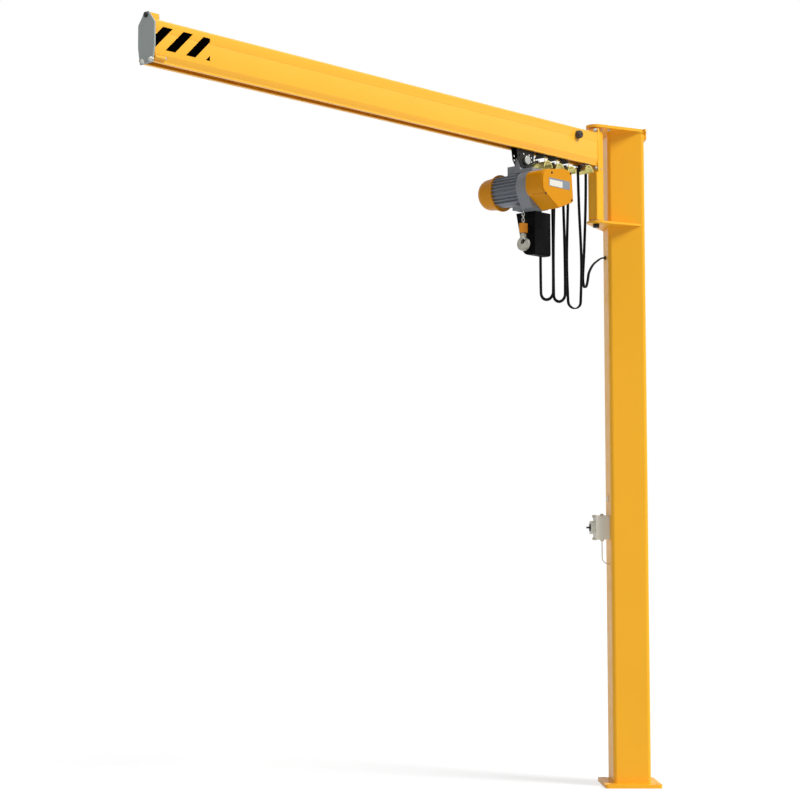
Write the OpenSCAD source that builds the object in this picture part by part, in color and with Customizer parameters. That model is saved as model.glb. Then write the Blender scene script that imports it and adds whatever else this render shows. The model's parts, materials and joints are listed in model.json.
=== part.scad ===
// Column-mounted jib crane with an enclosed-track jib and an electric chain hoist.
// Millimetres, +Z up. The origin is the centre of the base plate's underside.
// The jib points along -X at rest, over a corner of the square column.

/* [Column] */
// Side of the square base plate
base_size = 300; // [280:5:400]
// Thickness of the base plate
base_thick = 20; // [15:1:30]
// Corner radius of the base plate
base_corner_r = 15; // [5:1:30]
// Side of the square that the four anchor holes make
anchor_pitch = 240; // [232:2:250]
// Diameter of an anchor hole
anchor_hole_d = 22; // [14:1:26]
// Outer side of the square column tube
column_size = 200; // [180:5:220]
// Wall of the column tube
column_wall = 8; // [5:0.5:12]
// Outer corner radius of the column tube
column_corner_r = 20; // [12:1:24]
// Length of the column tube
column_len = 3495; // [3000:10:4000]

/* [Slew bracket] */
// Distance from the column's centre to the slew axis
slew_reach = 250; // [240:1:300]
// Radius of the bracket plates' rounded nose
nose_r = 50; // [45:1:60]
// Thickness of the top plate
top_plate_t = 15; // [12:1:20]
// Thickness of the lower plate
lower_plate_t = 12; // [10:1:20]
// Clear height between the two bracket plates
bracket_gap = 505; // [440:5:560]
// Thickness of the strap round the column's back corner
strap_t = 15; // [8:1:20]
// Height of the strap below the top plate
strap_h = 39; // [20:1:60]
// Diameter of the two slew pins
pin_d = 30; // [20:1:36]
// Thickness of the thrust washer under the post
thrust_t = 6; // [4:0.5:8]

/* [Slew post] */
// Side of the square slew post
post_size = 62; // [56:1:70]
// Wall of the post
post_wall = 6; // [4:0.5:8]
// Length of the solid bearing block at each end of the post
bearing_len = 60; // [40:1:90]
// Gap over the post, under the top plate
post_head_gap = 7; // [5:0.5:12]
// Thickness of the jib's fixing plate on the post
flange_t = 12; // [8:1:16]

/* [Jib profile] */
// Distance from the slew axis to the outer face of the end plate
jib_reach = 3100; // [2400:10:3600]
// Gap from the top plate's underside down to the jib's top
jib_drop = 35; // [30:1:60]
// Height of the jib profile
jib_h = 178; // [170:1:200]
// Width of the jib profile
jib_w = 100; // [96:1:110]
// Wall of the jib profile
jib_wall = 4; // [3:0.5:5]
// Chamfer along the profile's top edges
jib_chamfer = 8; // [4:0.5:10]
// Height of the profile's slanted lower flanks
flank_h = 25; // [20:0.5:28]
// Height of the short lips beside the slot
lip_h = 7; // [5:0.5:10]
// Width of the track slot in the underside
slot_w = 48; // [46:1:50]
// Depth of the inner web under the profile's top
web_depth = 53; // [45:1:60]
// Thickness of the end plate at the jib's tip
tip_plate_t = 8; // [5:0.5:12]

/* [Trolley and festoon] */
// Distance of the parked trolley from the slew axis
trolley_at = 619; // [600:1:640]
// Length of the trolley's side plates
trolley_len = 140; // [130:1:150]
// Thickness of the trolley's side plates
trolley_plate_t = 4; // [3:0.5:5]
// Gap from the trolley's side plates to the slot's edges
slot_gap = 5; // [5:0.5:6]
// Distance between neighbouring cable carriers when parked
carrier_pitch = 100; // [95:1:105]
// Distance from the trolley to the towed carrier
tow_len = 141; // [136:1:146]
// Distance of the fixed cable clamp from the slew axis
clamp_at = 128; // [120:1:135]
// Outer radius of the cable saddles
saddle_r = 33; // [28:1:34]
// Length of the cable saddles across the jib
saddle_len = 105; // [90:1:110]
// Diameter of the festoon cable
cable_d = 10; // [8:1:11]

/* [Hoist] */
// Height of the motor's axis above the floor at the given column length
hoist_drop = 202; // [200:1:215]
// Radius of the finned motor over its fins
motor_r = 93; // [85:1:95]
// Length of the finned motor along its axis
motor_len = 165; // [150:1:175]
// Number of cooling fins round the motor
fin_count = 30; // [20:2:36]
// Length of the grey gearbox along the motor axis
gearbox_len = 71; // [66:1:80]
// Length of the yellow gear cover along the motor axis
cover_len = 110; // [95:1:120]
// Length of the yellow brake cover along the motor axis
brake_len = 119; // [105:1:125]
// Wire diameter of the load chain
chain_d = 5; // [4:0.5:6]
// Inner length of a chain link
chain_pitch = 15; // [14:0.5:18]
// Number of chain links between hoist and hook
chain_links = 5; // [4:1:6]
// Outer radius of the load hook
hook_r = 36; // [34:1:38]

/* [Isolator switch] */
// Height of the switch box's centre above the floor
switch_z = 1373; // [1100:1:1600]
// Width of the switch box
switch_w = 106; // [80:1:120]
// Height of the switch box
switch_h = 130; // [110:1:160]
// Depth of the switch box without its lid
switch_depth = 71; // [50:1:90]

/* [Hidden] */
$fn = 48;
// Running clearance round pins and shafts, on the radius
pin_gap = 0.05;
// Gap between pieces that seat on each other along a curve
seat_gap = 0.3;
// Overlap that joins a straight edge to the circle it touches
join = 0.05;

// Heights of the column and its bracket
col_top = base_thick + column_len;
top_z = col_top + top_plate_t;
lower_top = col_top - bracket_gap;
lower_bottom = lower_top - lower_plate_t;
post_bottom = lower_top + thrust_t + seat_gap;
post_top = col_top - post_head_gap;
half_col = column_size / 2;
strap_w = column_size + 2 * strap_t;
slew_x = -slew_reach;

// Lower slew bolt
bolt_af = 30;
bolt_head = 20;
thrust_r = 28;
// Free depth left under each pin's end in its bearing block
pin_short = 4;
// Head of the upper pin, sunk in the top plate
pin_head_r = 22;
pin_head_t = 6;
// How far the lower plate's corners stay inside the column's
plate_inset = 4;

// Jib
jib_top = col_top - jib_drop;
jib_bottom = jib_top - jib_h;
flange_x = slew_x - post_size / 2 - flange_t;
tip_x = slew_x - jib_reach;
jib_end = tip_x + tip_plate_t;
half_jib = jib_w / 2;
flank_in = 10;
lip_z = jib_bottom + jib_wall;
half_slot = slot_w / 2;
web_z = jib_top - web_depth;
flange_w = 100;
flange_over = 32;
groove = 1.5;
track_depth = web_z - jib_wall - lip_z;

// End plate and its bosses
tip_over = 38;
tip_shoulder = 13;
tip_extra = 3.5;
tip_under = 4;
lug_len = 52;
lug_w = 24;
boss_r = 7;
boss_z = jib_bottom + 18;

// Slew buffers
buffer_r = 21;
buffer_len = 26;
buffer_at = 222;
buffer_z = jib_top - 40;
buffer_edge = 9;
buffer_slope = 3;
buffer_crown = 8;
buffer_hole_r = 5;
buffer_hole = 6;

// Trolley
trolley_x = slew_x - trolley_at;
plate_out = half_slot - slot_gap;
wheel_r = 18;
wheel_w = 8;
wheel_in = half_slot + 1.5;
axle_r = 5;
wheel_z = lip_z + wheel_r + seat_gap;
wheel_base = 90;
load_pin_r = 12;
load_head_r = 22.5;
load_head_t = 15;
load_z = jib_bottom - 52;
plate_bottom = jib_bottom - 90;
plate_hole_r = 5.5;
plate_hole_in = 20.5;
plate_hole_z = [32, 54];
lug_points = [[44, -22], [44, 8], [24, 20]];
lug_leg = 25;
lug_leg_at = 31;

// Festoon
saddle_wall = 3;
rim_h = 2.5;
rim_t = 2.5;
saddle_z = jib_bottom - 73;
carrier_drop = 19;
carrier_t = 12;
carrier_neck = 8;
carrier_beam = 16;
carrier_beam_h = 14;
carrier_rod_r = 4;
tow_bar = [6, 12];
rod_r = 2.5;
rod_y = 32;
tow_x = trolley_x + tow_len;
carrier_b_x = tow_x + carrier_pitch;
carrier_c_x = carrier_b_x + carrier_pitch;
clamp_x = slew_x - clamp_at;
clamp_w = 44;
clamp_strip = 16;
clamp_t = 4;
clamp_saddle_z = jib_bottom - 14 - saddle_r;
roller_r = 14;
roller_base = 44;

// Hoist
hoist_z = jib_bottom - hoist_drop;
core_r = motor_r - 15;
motor_y0 = -27;
motor_y1 = motor_y0 + motor_len;
gear_y0 = motor_y0 - gearbox_len;
cover_y0 = gear_y0 - cover_len;
brake_y1 = motor_y1 + brake_len;
fin_t = 3;
// Half of the angle left without fins above and below the motor
fin_free = 30;
// Gear cover outline about the motor's axis, and the radius of each corner
cover_points = [[-103, -38], [-103, 64], [75, 92], [138, 82], [151, -72], [29, -117]];
cover_radii = [45, 50, 30, 16, 12, 10];
cover_lip = 8;
cover_shrink = 0.97;
cover_seam = [-81, -51];
seam_w = 3;
seam_deep = 2.5;
// Gearbox foot that carries the chain guide and the container
guide_drop = 108;
guide_bottom = hoist_z - guide_drop;
guide_t = 20;
guide_y1 = 40;
guide_x0 = -38;
guide_x1 = 80;
casting_w = 86;
casting_z = -36;
// Gearbox head that carries the suspension lugs
head_w = 46;
head_y1 = 22;
head_h = 4;
// Terminal box on the motor
box_y0 = 24;
box_y1 = 78;
box_w = 60;
box_h = 45;
box_sink = 12;
gland_y = 60;
gland_z = 27;
gland_r = 9;
gland_len = 9;
gland_bore = 6;
// Chain container
bin_x0 = trolley_x + 43;
bin_x1 = trolley_x + 172;
bin_y0 = -41;
bin_y1 = 82;
bin_slant = 45;
bin_h = 223;
bin_wall = 3;
// Brake cover: flange, neck and rounded end
brake_lip = 2;
brake_flange = 10;
brake_neck = 5;
brake_end_r = 81;
brake_round = 26;
link_r = 6;
chain_bore_r = link_r + chain_d / 2 + seat_gap;
chain_top = guide_bottom + 9;
chain_len = chain_links * (chain_pitch - seat_gap);

// Hook block
sleeve_x = 40;
sleeve_y = 30;
sleeve_r = 6;
sleeve_h = 47;
sleeve_top = guide_bottom - 66;
sleeve_bottom = sleeve_top - sleeve_h;
sleeve_bore_h = 22;
shank_r = 7;
shank_in = 16;
hook_t = 16;
hook_z = sleeve_bottom - 48;
hook_eye = 12;
hook_sag = 10;
hook_neck = [[-12, 8], [-12, 38], [-8, 46], [8, 46], [14, 38], [20, 8]];
throat_w = 16;
throat_turn = 145;
latch_at = [-6, 24];
latch_pin = 2;
latch_t = 1.5;
latch_gap = 0.6;
latch_turn = -134;
latch_len = 21;
latch_w = 6.5;
latch_eye = 5;

// Switch on the column's side
half_switch = switch_w / 2;
switch_x = 0;
switch_top = switch_z + switch_h / 2;
switch_front = half_col + switch_depth;
switch_corner_r = 6;
lid_t = 4;
lid_over = 3;
dial_t = 23;
dial_w = 70;
dial_corner_r = 12;
lock_hole_r = 3;
lock_hole_in = 9;
lock_hole = 6;
knob_r = 17;
knob_t = 20;
knob_rim = 4;
knob_float = 1;
grip_w = 10;
grip_over = 3;
knob_shaft = 6;
shaft_len = 10;
shaft_bore = 12;
gland_nut_r = 12;
gland_nut_t = 4;
gland_cap_r = 8.5;
gland_cap = 9;
grommet_z = 2841;
grommet_r = 11;
grommet_t = 5;
plug_z = 1529;
plug_r = 19;
plug_t = 3;
plug_hole_r = 15;
wire_d = 5;
wire_y = half_col + switch_depth / 2;
wire_bend = switch_depth / 2;
wire_top = switch_z - switch_h / 2 - gland_nut_t - 1 - seat_gap;
wire_end_z = 1177;

// Cable routes, from the hoist's end of the festoon to the column
route_lead = [[-728, 18, 3269], [-748, 23, 3264], [-763, 32, 3250], [-785, 46, 3227],
    [-806, 57, 3209], [-819, 60, 3205], [-835, 60, 3205]];
route_a = [[-728, 18, 3269], [-708, 20, 3264], [-693, 24, 3249], [-688, 28, 3229],
    [-687, 32, 3100], [-682, 38, 2850], [-678, 40, 2591], [-678, 35, 2571],
    [-678, 20, 2556], [-678, 0, 2551], [-678, -20, 2556], [-678, -35, 2571],
    [-678, -40, 2591], [-674, -38, 2850], [-669, -32, 3100], [-668, -30, 3229],
    [-663, -24, 3249], [-648, -14, 3264], [-628, -8, 3269]];
route_b = [[-628, -8, 3269], [-608, -2, 3264], [-593, 8, 3249], [-588, 15, 3229],
    [-587, 20, 3080], [-578, 34, 2820], [-574, 37, 2587], [-574, 32, 2568],
    [-574, 18, 2555], [-574, 0, 2550], [-574, -18, 2555], [-574, -32, 2568],
    [-574, -37, 2587], [-571, -34, 2820], [-567, -24, 3080], [-568, -20, 3229],
    [-563, -16, 3249], [-548, -12, 3264], [-528, -10, 3269]];
route_c = [[-528, -10, 3269], [-508, -8, 3264], [-493, -4, 3249], [-488, 0, 3229],
    [-491, 4, 3060], [-493, 12, 2780], [-487, 11, 2566], [-482, 10, 2545],
    [-467, 5, 2530], [-447, 0, 2525], [-427, -5, 2530], [-412, -10, 2545],
    [-407, -11, 2566], [-402, -14, 2780], [-413, -10, 3070], [-418, -9, 3255],
    [-413, -8, 3275], [-398, -6, 3290], [-378, -4, 3295]];
route_supply = [[-378, -4, 3295], [-358, -3, 3290], [-343, -1, 3275], [-338, 0, 3255],
    [-343, 0, 3070], [-350, 5, 2860], [-356, 11, 2700], [-349, 15, 2670],
    [-328, 23, 2651], [-303, 30, 2658], [-286, 33, 2690], [-268, 38, 2734],
    [-201, 61, 2787], [-123, 83, 2824], [-92, 85, 2838], [-78, 78, 2841],
    [-74, 74, 2841]];

// ---- shared shapes ----

function unit(v) = v / norm(v);

// Arc points that round the corner b of the path a-b-c.
function corner_arc(a, b, c, r, n = 6) =
    let (u = unit(a - b), v = unit(c - b))
    let (half = acos(u * v) / 2)
    let (centre = b + unit(u + v) * r / sin(half))
    let (start = b + u * r / tan(half) - centre)
    let (turn = cross(b - a, c - b) > 0 ? 1 : -1)
    let (a0 = atan2(start.y, start.x))
    [for (k = [0:n]) centre + r * [cos(a0 + turn * (180 - 2 * half) * k / n),
        sin(a0 + turn * (180 - 2 * half) * k / n)]];

// Outline with its own radius at every corner.
function rounded(points, radii) =
    let (n = len(points))
    [for (i = [0:n - 1]) each radii[i] == 0 ? [points[i]]
        : corner_arc(points[(i + n - 1) % n], points[i], points[(i + 1) % n], radii[i])];

// Rectangle about the origin with the same radius at all corners.
function rounded_box(w, h, r) =
    rounded([[-w, -h] / 2, [w, -h] / 2, [w, h] / 2, [-w, h] / 2], [r, r, r, r]);

// The same half outline on both sides of the vertical axis.
function mirrored(half) =
    concat(half, [for (i = [len(half) - 1:-1:0]) [-half[i].x, half[i].y]]);

module rounded_square(size, r) {
    square([size, size - 2 * r], center = true);
    square([size - 2 * r, size], center = true);
    for (sx = [-1, 1], sy = [-1, 1])
        translate([sx * (size / 2 - r), sy * (size / 2 - r)])
            circle(r);
}

// Extrudes an outline drawn in Y and Z along X.
module along_x(x0, x1) {
    translate([x0, 0, 0])
        rotate([90, 0, 90])
            linear_extrude(x1 - x0)
                children();
}

// Extrudes an outline drawn in X and Z along Y.
module along_y(y0, y1) {
    translate([0, y1, 0])
        rotate([90, 0, 0])
            linear_extrude(y1 - y0)
                children();
}

// Cylinder along Y through the point (x, z).
module rod_y(x, z, r, y0, y1) {
    along_y(y0, y1)
        translate([x, z])
            circle(r);
}

// Places a shape in the column's own square frame.
module on_column() {
    rotate(45)
        children();
}

// Outline of the bracket plates: a nose round the slew axis and tangents to the corners.
module kite(side_r) {
    side_y = (half_col - column_corner_r) * sqrt(2);
    span = norm([slew_reach, side_y]);
    tilt = atan2(side_y, slew_reach) + acos((nose_r - side_r) / span);
    nose_t = (nose_r - join) * [cos(tilt), sin(tilt)];
    side_t = (side_r - join) * [cos(tilt), sin(tilt)];
    translate([slew_x, 0])
        circle(nose_r);
    for (s = [-1, 1])
        translate([0, s * side_y])
            circle(side_r);
    polygon([[slew_x, 0], [slew_x + nose_t.x, -nose_t.y], [side_t.x, -side_y - side_t.y],
        [0, -side_y], [half_col / 2, 0], [0, side_y], [side_t.x, side_y + side_t.y],
        [slew_x + nose_t.x, nose_t.y]]);
}

// ---- column ----

module base_plate() {
    color("#FCBB34")
        on_column()
            difference() {
                linear_extrude(base_thick)
                    rounded_square(base_size, base_corner_r);
                for (sx = [-1, 1], sy = [-1, 1])
                    translate([sx * anchor_pitch / 2, sy * anchor_pitch / 2, -1])
                        cylinder(h = base_thick + 2, d = anchor_hole_d);
            }
}

module column_tube() {
    color("#F0AE2C")
        on_column()
            difference() {
                translate([0, 0, base_thick])
                    linear_extrude(column_len)
                        rounded_square(column_size, column_corner_r);
                translate([0, 0, base_thick - 1])
                    linear_extrude(column_len + 2)
                        rounded_square(column_size - 2 * column_wall,
                            column_corner_r - column_wall);
                for (hole = [[grommet_z, grommet_r - 3], [plug_z, plug_hole_r],
                    [wire_end_z, wire_d]])
                    translate([switch_x, 0, hole[0]])
                        rotate([-90, 0, 0])
                            cylinder(h = column_size, r = hole[1]);
            }
}

module top_plate() {
    color("#FCBB34")
        difference() {
            translate([0, 0, col_top])
                linear_extrude(top_plate_t)
                    union() {
                        kite(column_corner_r);
                        intersection() {
                            rotate(45)
                                rounded_square(strap_w, column_corner_r + strap_t);
                            translate([0, -strap_w])
                                square([2 * strap_w, 2 * strap_w]);
                        }
                    }
            translate([slew_x, 0, col_top - 1])
                cylinder(h = top_plate_t + 2, r = pin_d / 2 + pin_gap);
            translate([slew_x, 0, top_z - pin_head_t])
                cylinder(h = pin_head_t + 1, r = pin_head_r + pin_gap);
        }
}

module lower_plate() {
    color("#F0AE2C")
        difference() {
            translate([0, 0, lower_bottom])
                linear_extrude(lower_plate_t)
                    difference() {
                        kite(column_corner_r - plate_inset);
                        rotate(45)
                            rounded_square(column_size, column_corner_r);
                        translate([0, -column_size])
                            square([2 * column_size, 2 * column_size]);
                    }
            translate([slew_x, 0, lower_bottom - 1])
                cylinder(h = lower_plate_t + 2, r = pin_d / 2 + pin_gap);
        }
}

module top_strap() {
    end = half_col - column_corner_r;
    color("#F0AE2C")
        on_column()
            translate([0, 0, col_top - strap_h])
                linear_extrude(strap_h)
                    difference() {
                        rounded_square(strap_w, column_corner_r + strap_t);
                        rounded_square(column_size, column_corner_r);
                        translate([-strap_w - end, -strap_w])
                            square([strap_w, 2 * strap_w]);
                        translate([-strap_w, end])
                            square([2 * strap_w, strap_w]);
                    }
}

module upper_pin() {
    color("#C8952A")
        translate([slew_x, 0, 0]) {
            translate([0, 0, post_top - bearing_len + pin_short])
                cylinder(h = top_z - post_top + bearing_len - pin_short, d = pin_d);
            translate([0, 0, top_z - pin_head_t])
                cylinder(h = pin_head_t, r = pin_head_r);
        }
}

module lower_pin() {
    color("#3A3A38")
        translate([slew_x, 0, 0]) {
            translate([0, 0, lower_bottom])
                cylinder(h = post_bottom + bearing_len - pin_short - lower_bottom, d = pin_d);
            translate([0, 0, lower_bottom - bolt_head])
                cylinder(h = bolt_head, r = bolt_af / sqrt(3), $fn = 6);
        }
}

module thrust_washer() {
    color("#B8862A")
        translate([slew_x, 0, lower_top])
            difference() {
                cylinder(h = thrust_t, r = thrust_r);
                translate([0, 0, -1])
                    cylinder(h = thrust_t + 2, r = pin_d / 2 + pin_gap);
            }
}

module cable_grommet() {
    color("#2A2A2A")
        on_column()
            translate([switch_x, half_col, grommet_z])
                rotate([-90, 0, 0])
                    difference() {
                        union() {
                            cylinder(h = grommet_t, r = grommet_r);
                            translate([0, 0, grommet_t])
                                cylinder(h = grommet_t, r1 = grommet_r - 1, r2 = cable_d / 2 + 2);
                        }
                        translate([0, 0, -1])
                            cylinder(h = 2 * grommet_t + 2, r = cable_d / 2 + seat_gap);
                    }
}

// ---- isolator switch ----

module switch_box() {
    color("#B4B0A0")
        on_column() {
            translate([switch_x, half_col, switch_z])
                rotate([-90, 0, 0])
                    linear_extrude(switch_depth)
                        polygon(rounded_box(switch_w, switch_h, switch_corner_r));
            translate([switch_x, switch_front, switch_z])
                rotate([-90, 0, 0])
                    linear_extrude(lid_t)
                        polygon(rounded_box(switch_w + 2 * lid_over, switch_h + 2 * lid_over,
                            switch_corner_r + lid_over));
        }
}

module switch_plate() {
    side = dial_w / 2 - lock_hole_in;
    color("#A8A598")
        on_column()
            translate([switch_x, switch_front + lid_t, switch_z])
                rotate([-90, 0, 0])
                    difference() {
                        linear_extrude(dial_t)
                            polygon(rounded_box(dial_w, dial_w, dial_corner_r));
                        translate([0, 0, dial_t - shaft_bore])
                            cylinder(h = shaft_bore + 1, r = knob_shaft + pin_gap);
                        for (s = [-side, side])
                            translate([s, s, dial_t - lock_hole])
                                cylinder(h = lock_hole + 1, r = lock_hole_r);
                    }
}

module switch_knob() {
    color("#1E1E1E")
        on_column()
            translate([switch_x, switch_front + lid_t + dial_t, switch_z])
                rotate([-90, 0, 0]) {
                    translate([0, 0, -shaft_len])
                        cylinder(h = shaft_len + knob_float + 1, r = knob_shaft);
                    translate([0, 0, knob_float])
                        cylinder(h = knob_rim, r = knob_r + knob_rim);
                    translate([-knob_r - grip_over, -grip_w / 2, knob_rim])
                        cube([2 * (knob_r + grip_over), grip_w, knob_t - knob_rim]);
                }
}

module switch_glands() {
    color("#8C8A80")
        on_column()
            for (s = [-1, 1])
                translate([switch_x, half_col + switch_depth / 2, switch_z + s * switch_h / 2])
                    rotate([s > 0 ? 0 : 180, 0, 0])
                        difference() {
                            union() {
                                cylinder(h = gland_nut_t, r = gland_nut_r, $fn = 6);
                                cylinder(h = gland_cap, r = gland_cap_r);
                            }
                            translate([0, 0, gland_cap - gland_nut_t])
                                cylinder(h = gland_nut_t + 1, r = wire_d / 2 + seat_gap);
                        }
}

module wall_plug() {
    color("#6A6A60")
        on_column()
            translate([switch_x, half_col, plug_z])
                rotate([-90, 0, 0]) {
                    cylinder(h = plug_t, r = plug_r);
                    translate([0, 0, plug_t])
                        cylinder(h = plug_t, r1 = plug_r - 2, r2 = plug_r - 6);
                }
}

// Short wire from the lower gland, bent back through the column's wall.
module switch_wire() {
    color("#C9C3AE")
        on_column()
            translate([switch_x, 0, 0]) {
                translate([0, wire_y, wire_end_z + wire_bend])
                    cylinder(h = wire_top - wire_end_z - wire_bend, d = wire_d);
                translate([0, half_col, wire_end_z + wire_bend])
                    rotate([90, 0, 90])
                        rotate([0, 0, -90])
                            rotate_extrude(angle = 90)
                                translate([wire_bend, 0])
                                    circle(d = wire_d);
                translate([0, half_col - column_wall, wire_end_z])
                    rotate([-90, 0, 0])
                        cylinder(h = column_wall, d = wire_d);
            }
}

// ---- jib ----

module slew_post() {
    color("#FFD055")
        translate([slew_x, 0, 0])
            difference() {
                translate([0, 0, post_bottom])
                    linear_extrude(post_top - post_bottom)
                        rounded_square(post_size, post_wall + 3);
                translate([0, 0, post_bottom + bearing_len])
                    linear_extrude(post_top - post_bottom - 2 * bearing_len)
                        rounded_square(post_size - 2 * post_wall, 3);
                translate([0, 0, post_bottom - 1])
                    cylinder(h = bearing_len + 2, r = pin_d / 2 + pin_gap);
                translate([0, 0, post_top - bearing_len - 1])
                    cylinder(h = bearing_len + 2, r = pin_d / 2 + pin_gap);
            }
}

module jib_flange() {
    low = jib_bottom - flange_over;
    color("#F8C048")
        along_x(flange_x, flange_x + flange_t)
            translate([0, (low + post_top) / 2])
                polygon(rounded_box(flange_w, post_top - low, jib_chamfer));
}

module jib_outline() {
    half_bottom = half_jib - flank_in;
    polygon(mirrored([[half_slot, jib_bottom], [half_bottom, jib_bottom],
        [half_bottom, jib_bottom + lip_h], [half_jib, jib_bottom + lip_h + flank_h],
        [half_jib, web_z - groove], [half_jib - groove, web_z], [half_jib, web_z + groove],
        [half_jib, jib_top - jib_chamfer], [half_jib - jib_chamfer, jib_top]]));
}

module jib_profile() {
    inner = half_jib - jib_wall;
    inner_bottom = inner - flank_in;
    chamfer = jib_chamfer - jib_wall * 0.4;
    color("#FFCB52")
        along_x(jib_end, flange_x)
            difference() {
                jib_outline();
                translate([-half_slot, jib_bottom - jib_wall])
                    square([slot_w, 2 * jib_wall]);
                polygon(mirrored([[inner_bottom, lip_z], [inner_bottom, jib_bottom + lip_h],
                    [inner, jib_bottom + lip_h + flank_h], [inner, web_z - jib_wall]]));
                polygon(mirrored([[inner, web_z], [inner, jib_top - jib_wall - chamfer],
                    [inner - chamfer, jib_top - jib_wall]]));
            }
}

module tip_plate() {
    wide = half_jib + tip_extra;
    color("#7F8684")
        along_x(tip_x, jib_end)
            polygon(mirrored([[half_jib - flank_in + 0.5, jib_bottom - tip_under],
                [wide, jib_bottom + 68], [wide, jib_top - tip_shoulder],
                [lug_w / 2, jib_top + tip_over]]));
}

module tip_bosses() {
    color("#F0A836") {
        along_x(jib_end, jib_end + lug_len)
            polygon([[-lug_w / 2, jib_top], [lug_w / 2, jib_top],
                [lug_w / 2, jib_top + tip_over - 2], [-lug_w / 2, jib_top + tip_over - 2]]);
        along_x(jib_end, jib_end + lug_len)
            difference() {
                for (s = [-1, 1])
                    translate([s * half_jib, boss_z])
                        circle(boss_r);
                jib_outline();
            }
    }
}

module buffer(s) {
    color("#2A2A2A")
        translate([slew_x - buffer_at, s * half_jib, buffer_z])
            rotate([-s * 90, 0, 0])
                difference() {
                    rotate_extrude()
                        polygon([[0, 0], [buffer_r, 0], [buffer_r, buffer_len - buffer_edge],
                            [buffer_r - buffer_slope, buffer_len - buffer_slope],
                            [buffer_r - buffer_crown, buffer_len], [0, buffer_len]]);
                    translate([0, 0, buffer_len - buffer_hole])
                        cylinder(h = buffer_hole + 1, r = buffer_hole_r);
                }
}

module buffer_left() {
    buffer(-1);
}

module buffer_right() {
    buffer(1);
}

// ---- festoon ----

// Half-round cable saddle hung on two rods that reach up to the height top.
module saddle(x, z, top) {
    half = saddle_len / 2;
    color("#A89840") {
        along_y(-half, half)
            translate([x, z])
                difference() {
                    circle(saddle_r);
                    circle(saddle_r - saddle_wall);
                    translate([-saddle_r - 1, -2 * saddle_r])
                        square([2 * saddle_r + 2, 2 * saddle_r]);
                }
        for (s = [-1, 1])
            along_y(s * half - rim_t / 2, s * half + rim_t / 2)
                translate([x, z])
                    difference() {
                        circle(saddle_r + rim_h);
                        circle(saddle_r - saddle_wall);
                        translate([-saddle_r - rim_h - 1, -2 * saddle_r])
                            square([2 * saddle_r + 2 * rim_h + 2, 2 * saddle_r]);
                    }
        for (s = [-1, 1])
            translate([x, s * rod_y, z + saddle_r - saddle_wall])
                cylinder(h = top - z - saddle_r + saddle_wall, r = rod_r);
    }
}

// Cable carrier: a pad under the slot and four rollers on the inner lips.
module carrier(x) {
    pad = jib_bottom - carrier_drop;
    neck = jib_bottom + 2;
    roller_z = lip_z + roller_r + seat_gap;
    color("#2C2C2A") {
        along_x(x - carrier_t / 2, x + carrier_t / 2)
            polygon(mirrored([[rod_y + 3, pad], [plate_out - 0.5, neck - 2.5],
                [carrier_neck, neck], [carrier_neck, roller_z + 5]]));
        along_y(-carrier_t / 2, carrier_t / 2)
            translate([x - (roller_base + carrier_beam) / 2, roller_z - carrier_beam_h / 2])
                square([roller_base + carrier_beam, carrier_beam_h]);
        for (s = [-1, 1]) {
            rod_y(x + s * roller_base / 2, roller_z, carrier_rod_r, -wheel_in - wheel_w,
                wheel_in + wheel_w);
            for (y = [-wheel_in - wheel_w, wheel_in])
                rod_y(x + s * roller_base / 2, roller_z, roller_r, y, y + wheel_w);
        }
    }
}

module tow_carrier() {
    carrier(tow_x);
    color("#2C2C2A")
        translate([trolley_x + trolley_len / 2 - 8, -tow_bar.x / 2, lip_z + 8])
            cube([tow_len - trolley_len / 2 - roller_base / 2 + 2, tow_bar.x, tow_bar.y]);
}

module tow_saddle() {
    saddle(tow_x, saddle_z, jib_bottom - carrier_drop);
}

module carrier_b() {
    carrier(carrier_b_x);
}

module saddle_b() {
    saddle(carrier_b_x, saddle_z, jib_bottom - carrier_drop);
}

module carrier_c() {
    carrier(carrier_c_x);
}

module saddle_c() {
    saddle(carrier_c_x, saddle_z, jib_bottom - carrier_drop);
}

module end_saddle() {
    saddle(clamp_x, clamp_saddle_z, jib_bottom - clamp_t);
}

module end_clamp() {
    color("#55564E")
        for (y = [flank_in - half_jib, half_jib - flank_in - clamp_strip])
            translate([clamp_x - clamp_w / 2, y, jib_bottom - clamp_t])
                cube([clamp_w, clamp_strip, clamp_t]);
}

// ---- trolley ----

module trolley_frame() {
    half = trolley_len / 2;
    color("#33352F")
        difference() {
            for (y = [-plate_out, plate_out - trolley_plate_t])
                along_y(y, y + trolley_plate_t)
                    translate([trolley_x, 0])
                        polygon(rounded(mirrored([[half / 2, plate_bottom],
                            [half - 8, jib_bottom - 55], [half, jib_bottom - 5],
                            [half, wheel_z + 12]]), [8, 10, 10, 10, 10, 10, 10, 8]));
            for (s = [-1, 1]) {
                rod_y(trolley_x + s * wheel_base / 2, wheel_z, axle_r + pin_gap,
                    -half_jib, half_jib);
                for (dz = plate_hole_z)
                    rod_y(trolley_x + s * (half - plate_hole_in), jib_bottom - dz, plate_hole_r,
                        -half_jib, half_jib);
            }
            rod_y(trolley_x, load_z, load_pin_r + pin_gap, -half_jib, half_jib);
        }
}

module trolley_wheels() {
    color("#8E9092")
        for (s = [-1, 1]) {
            x = trolley_x + s * wheel_base / 2;
            rod_y(x, wheel_z, axle_r, -wheel_in - wheel_w - 1, wheel_in + wheel_w + 1);
            for (y = [-wheel_in - wheel_w, wheel_in])
                rod_y(x, wheel_z, wheel_r, y, y + wheel_w);
        }
}

module load_bar() {
    color("#9A9C9E") {
        rod_y(trolley_x, load_z, load_pin_r, -plate_out - 2, plate_out + 2);
        for (s = [-1, 1]) {
            y = s > 0 ? plate_out : -plate_out - load_head_t;
            rod_y(trolley_x, load_z, load_head_r, y, y + load_head_t);
        }
    }
}

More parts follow.
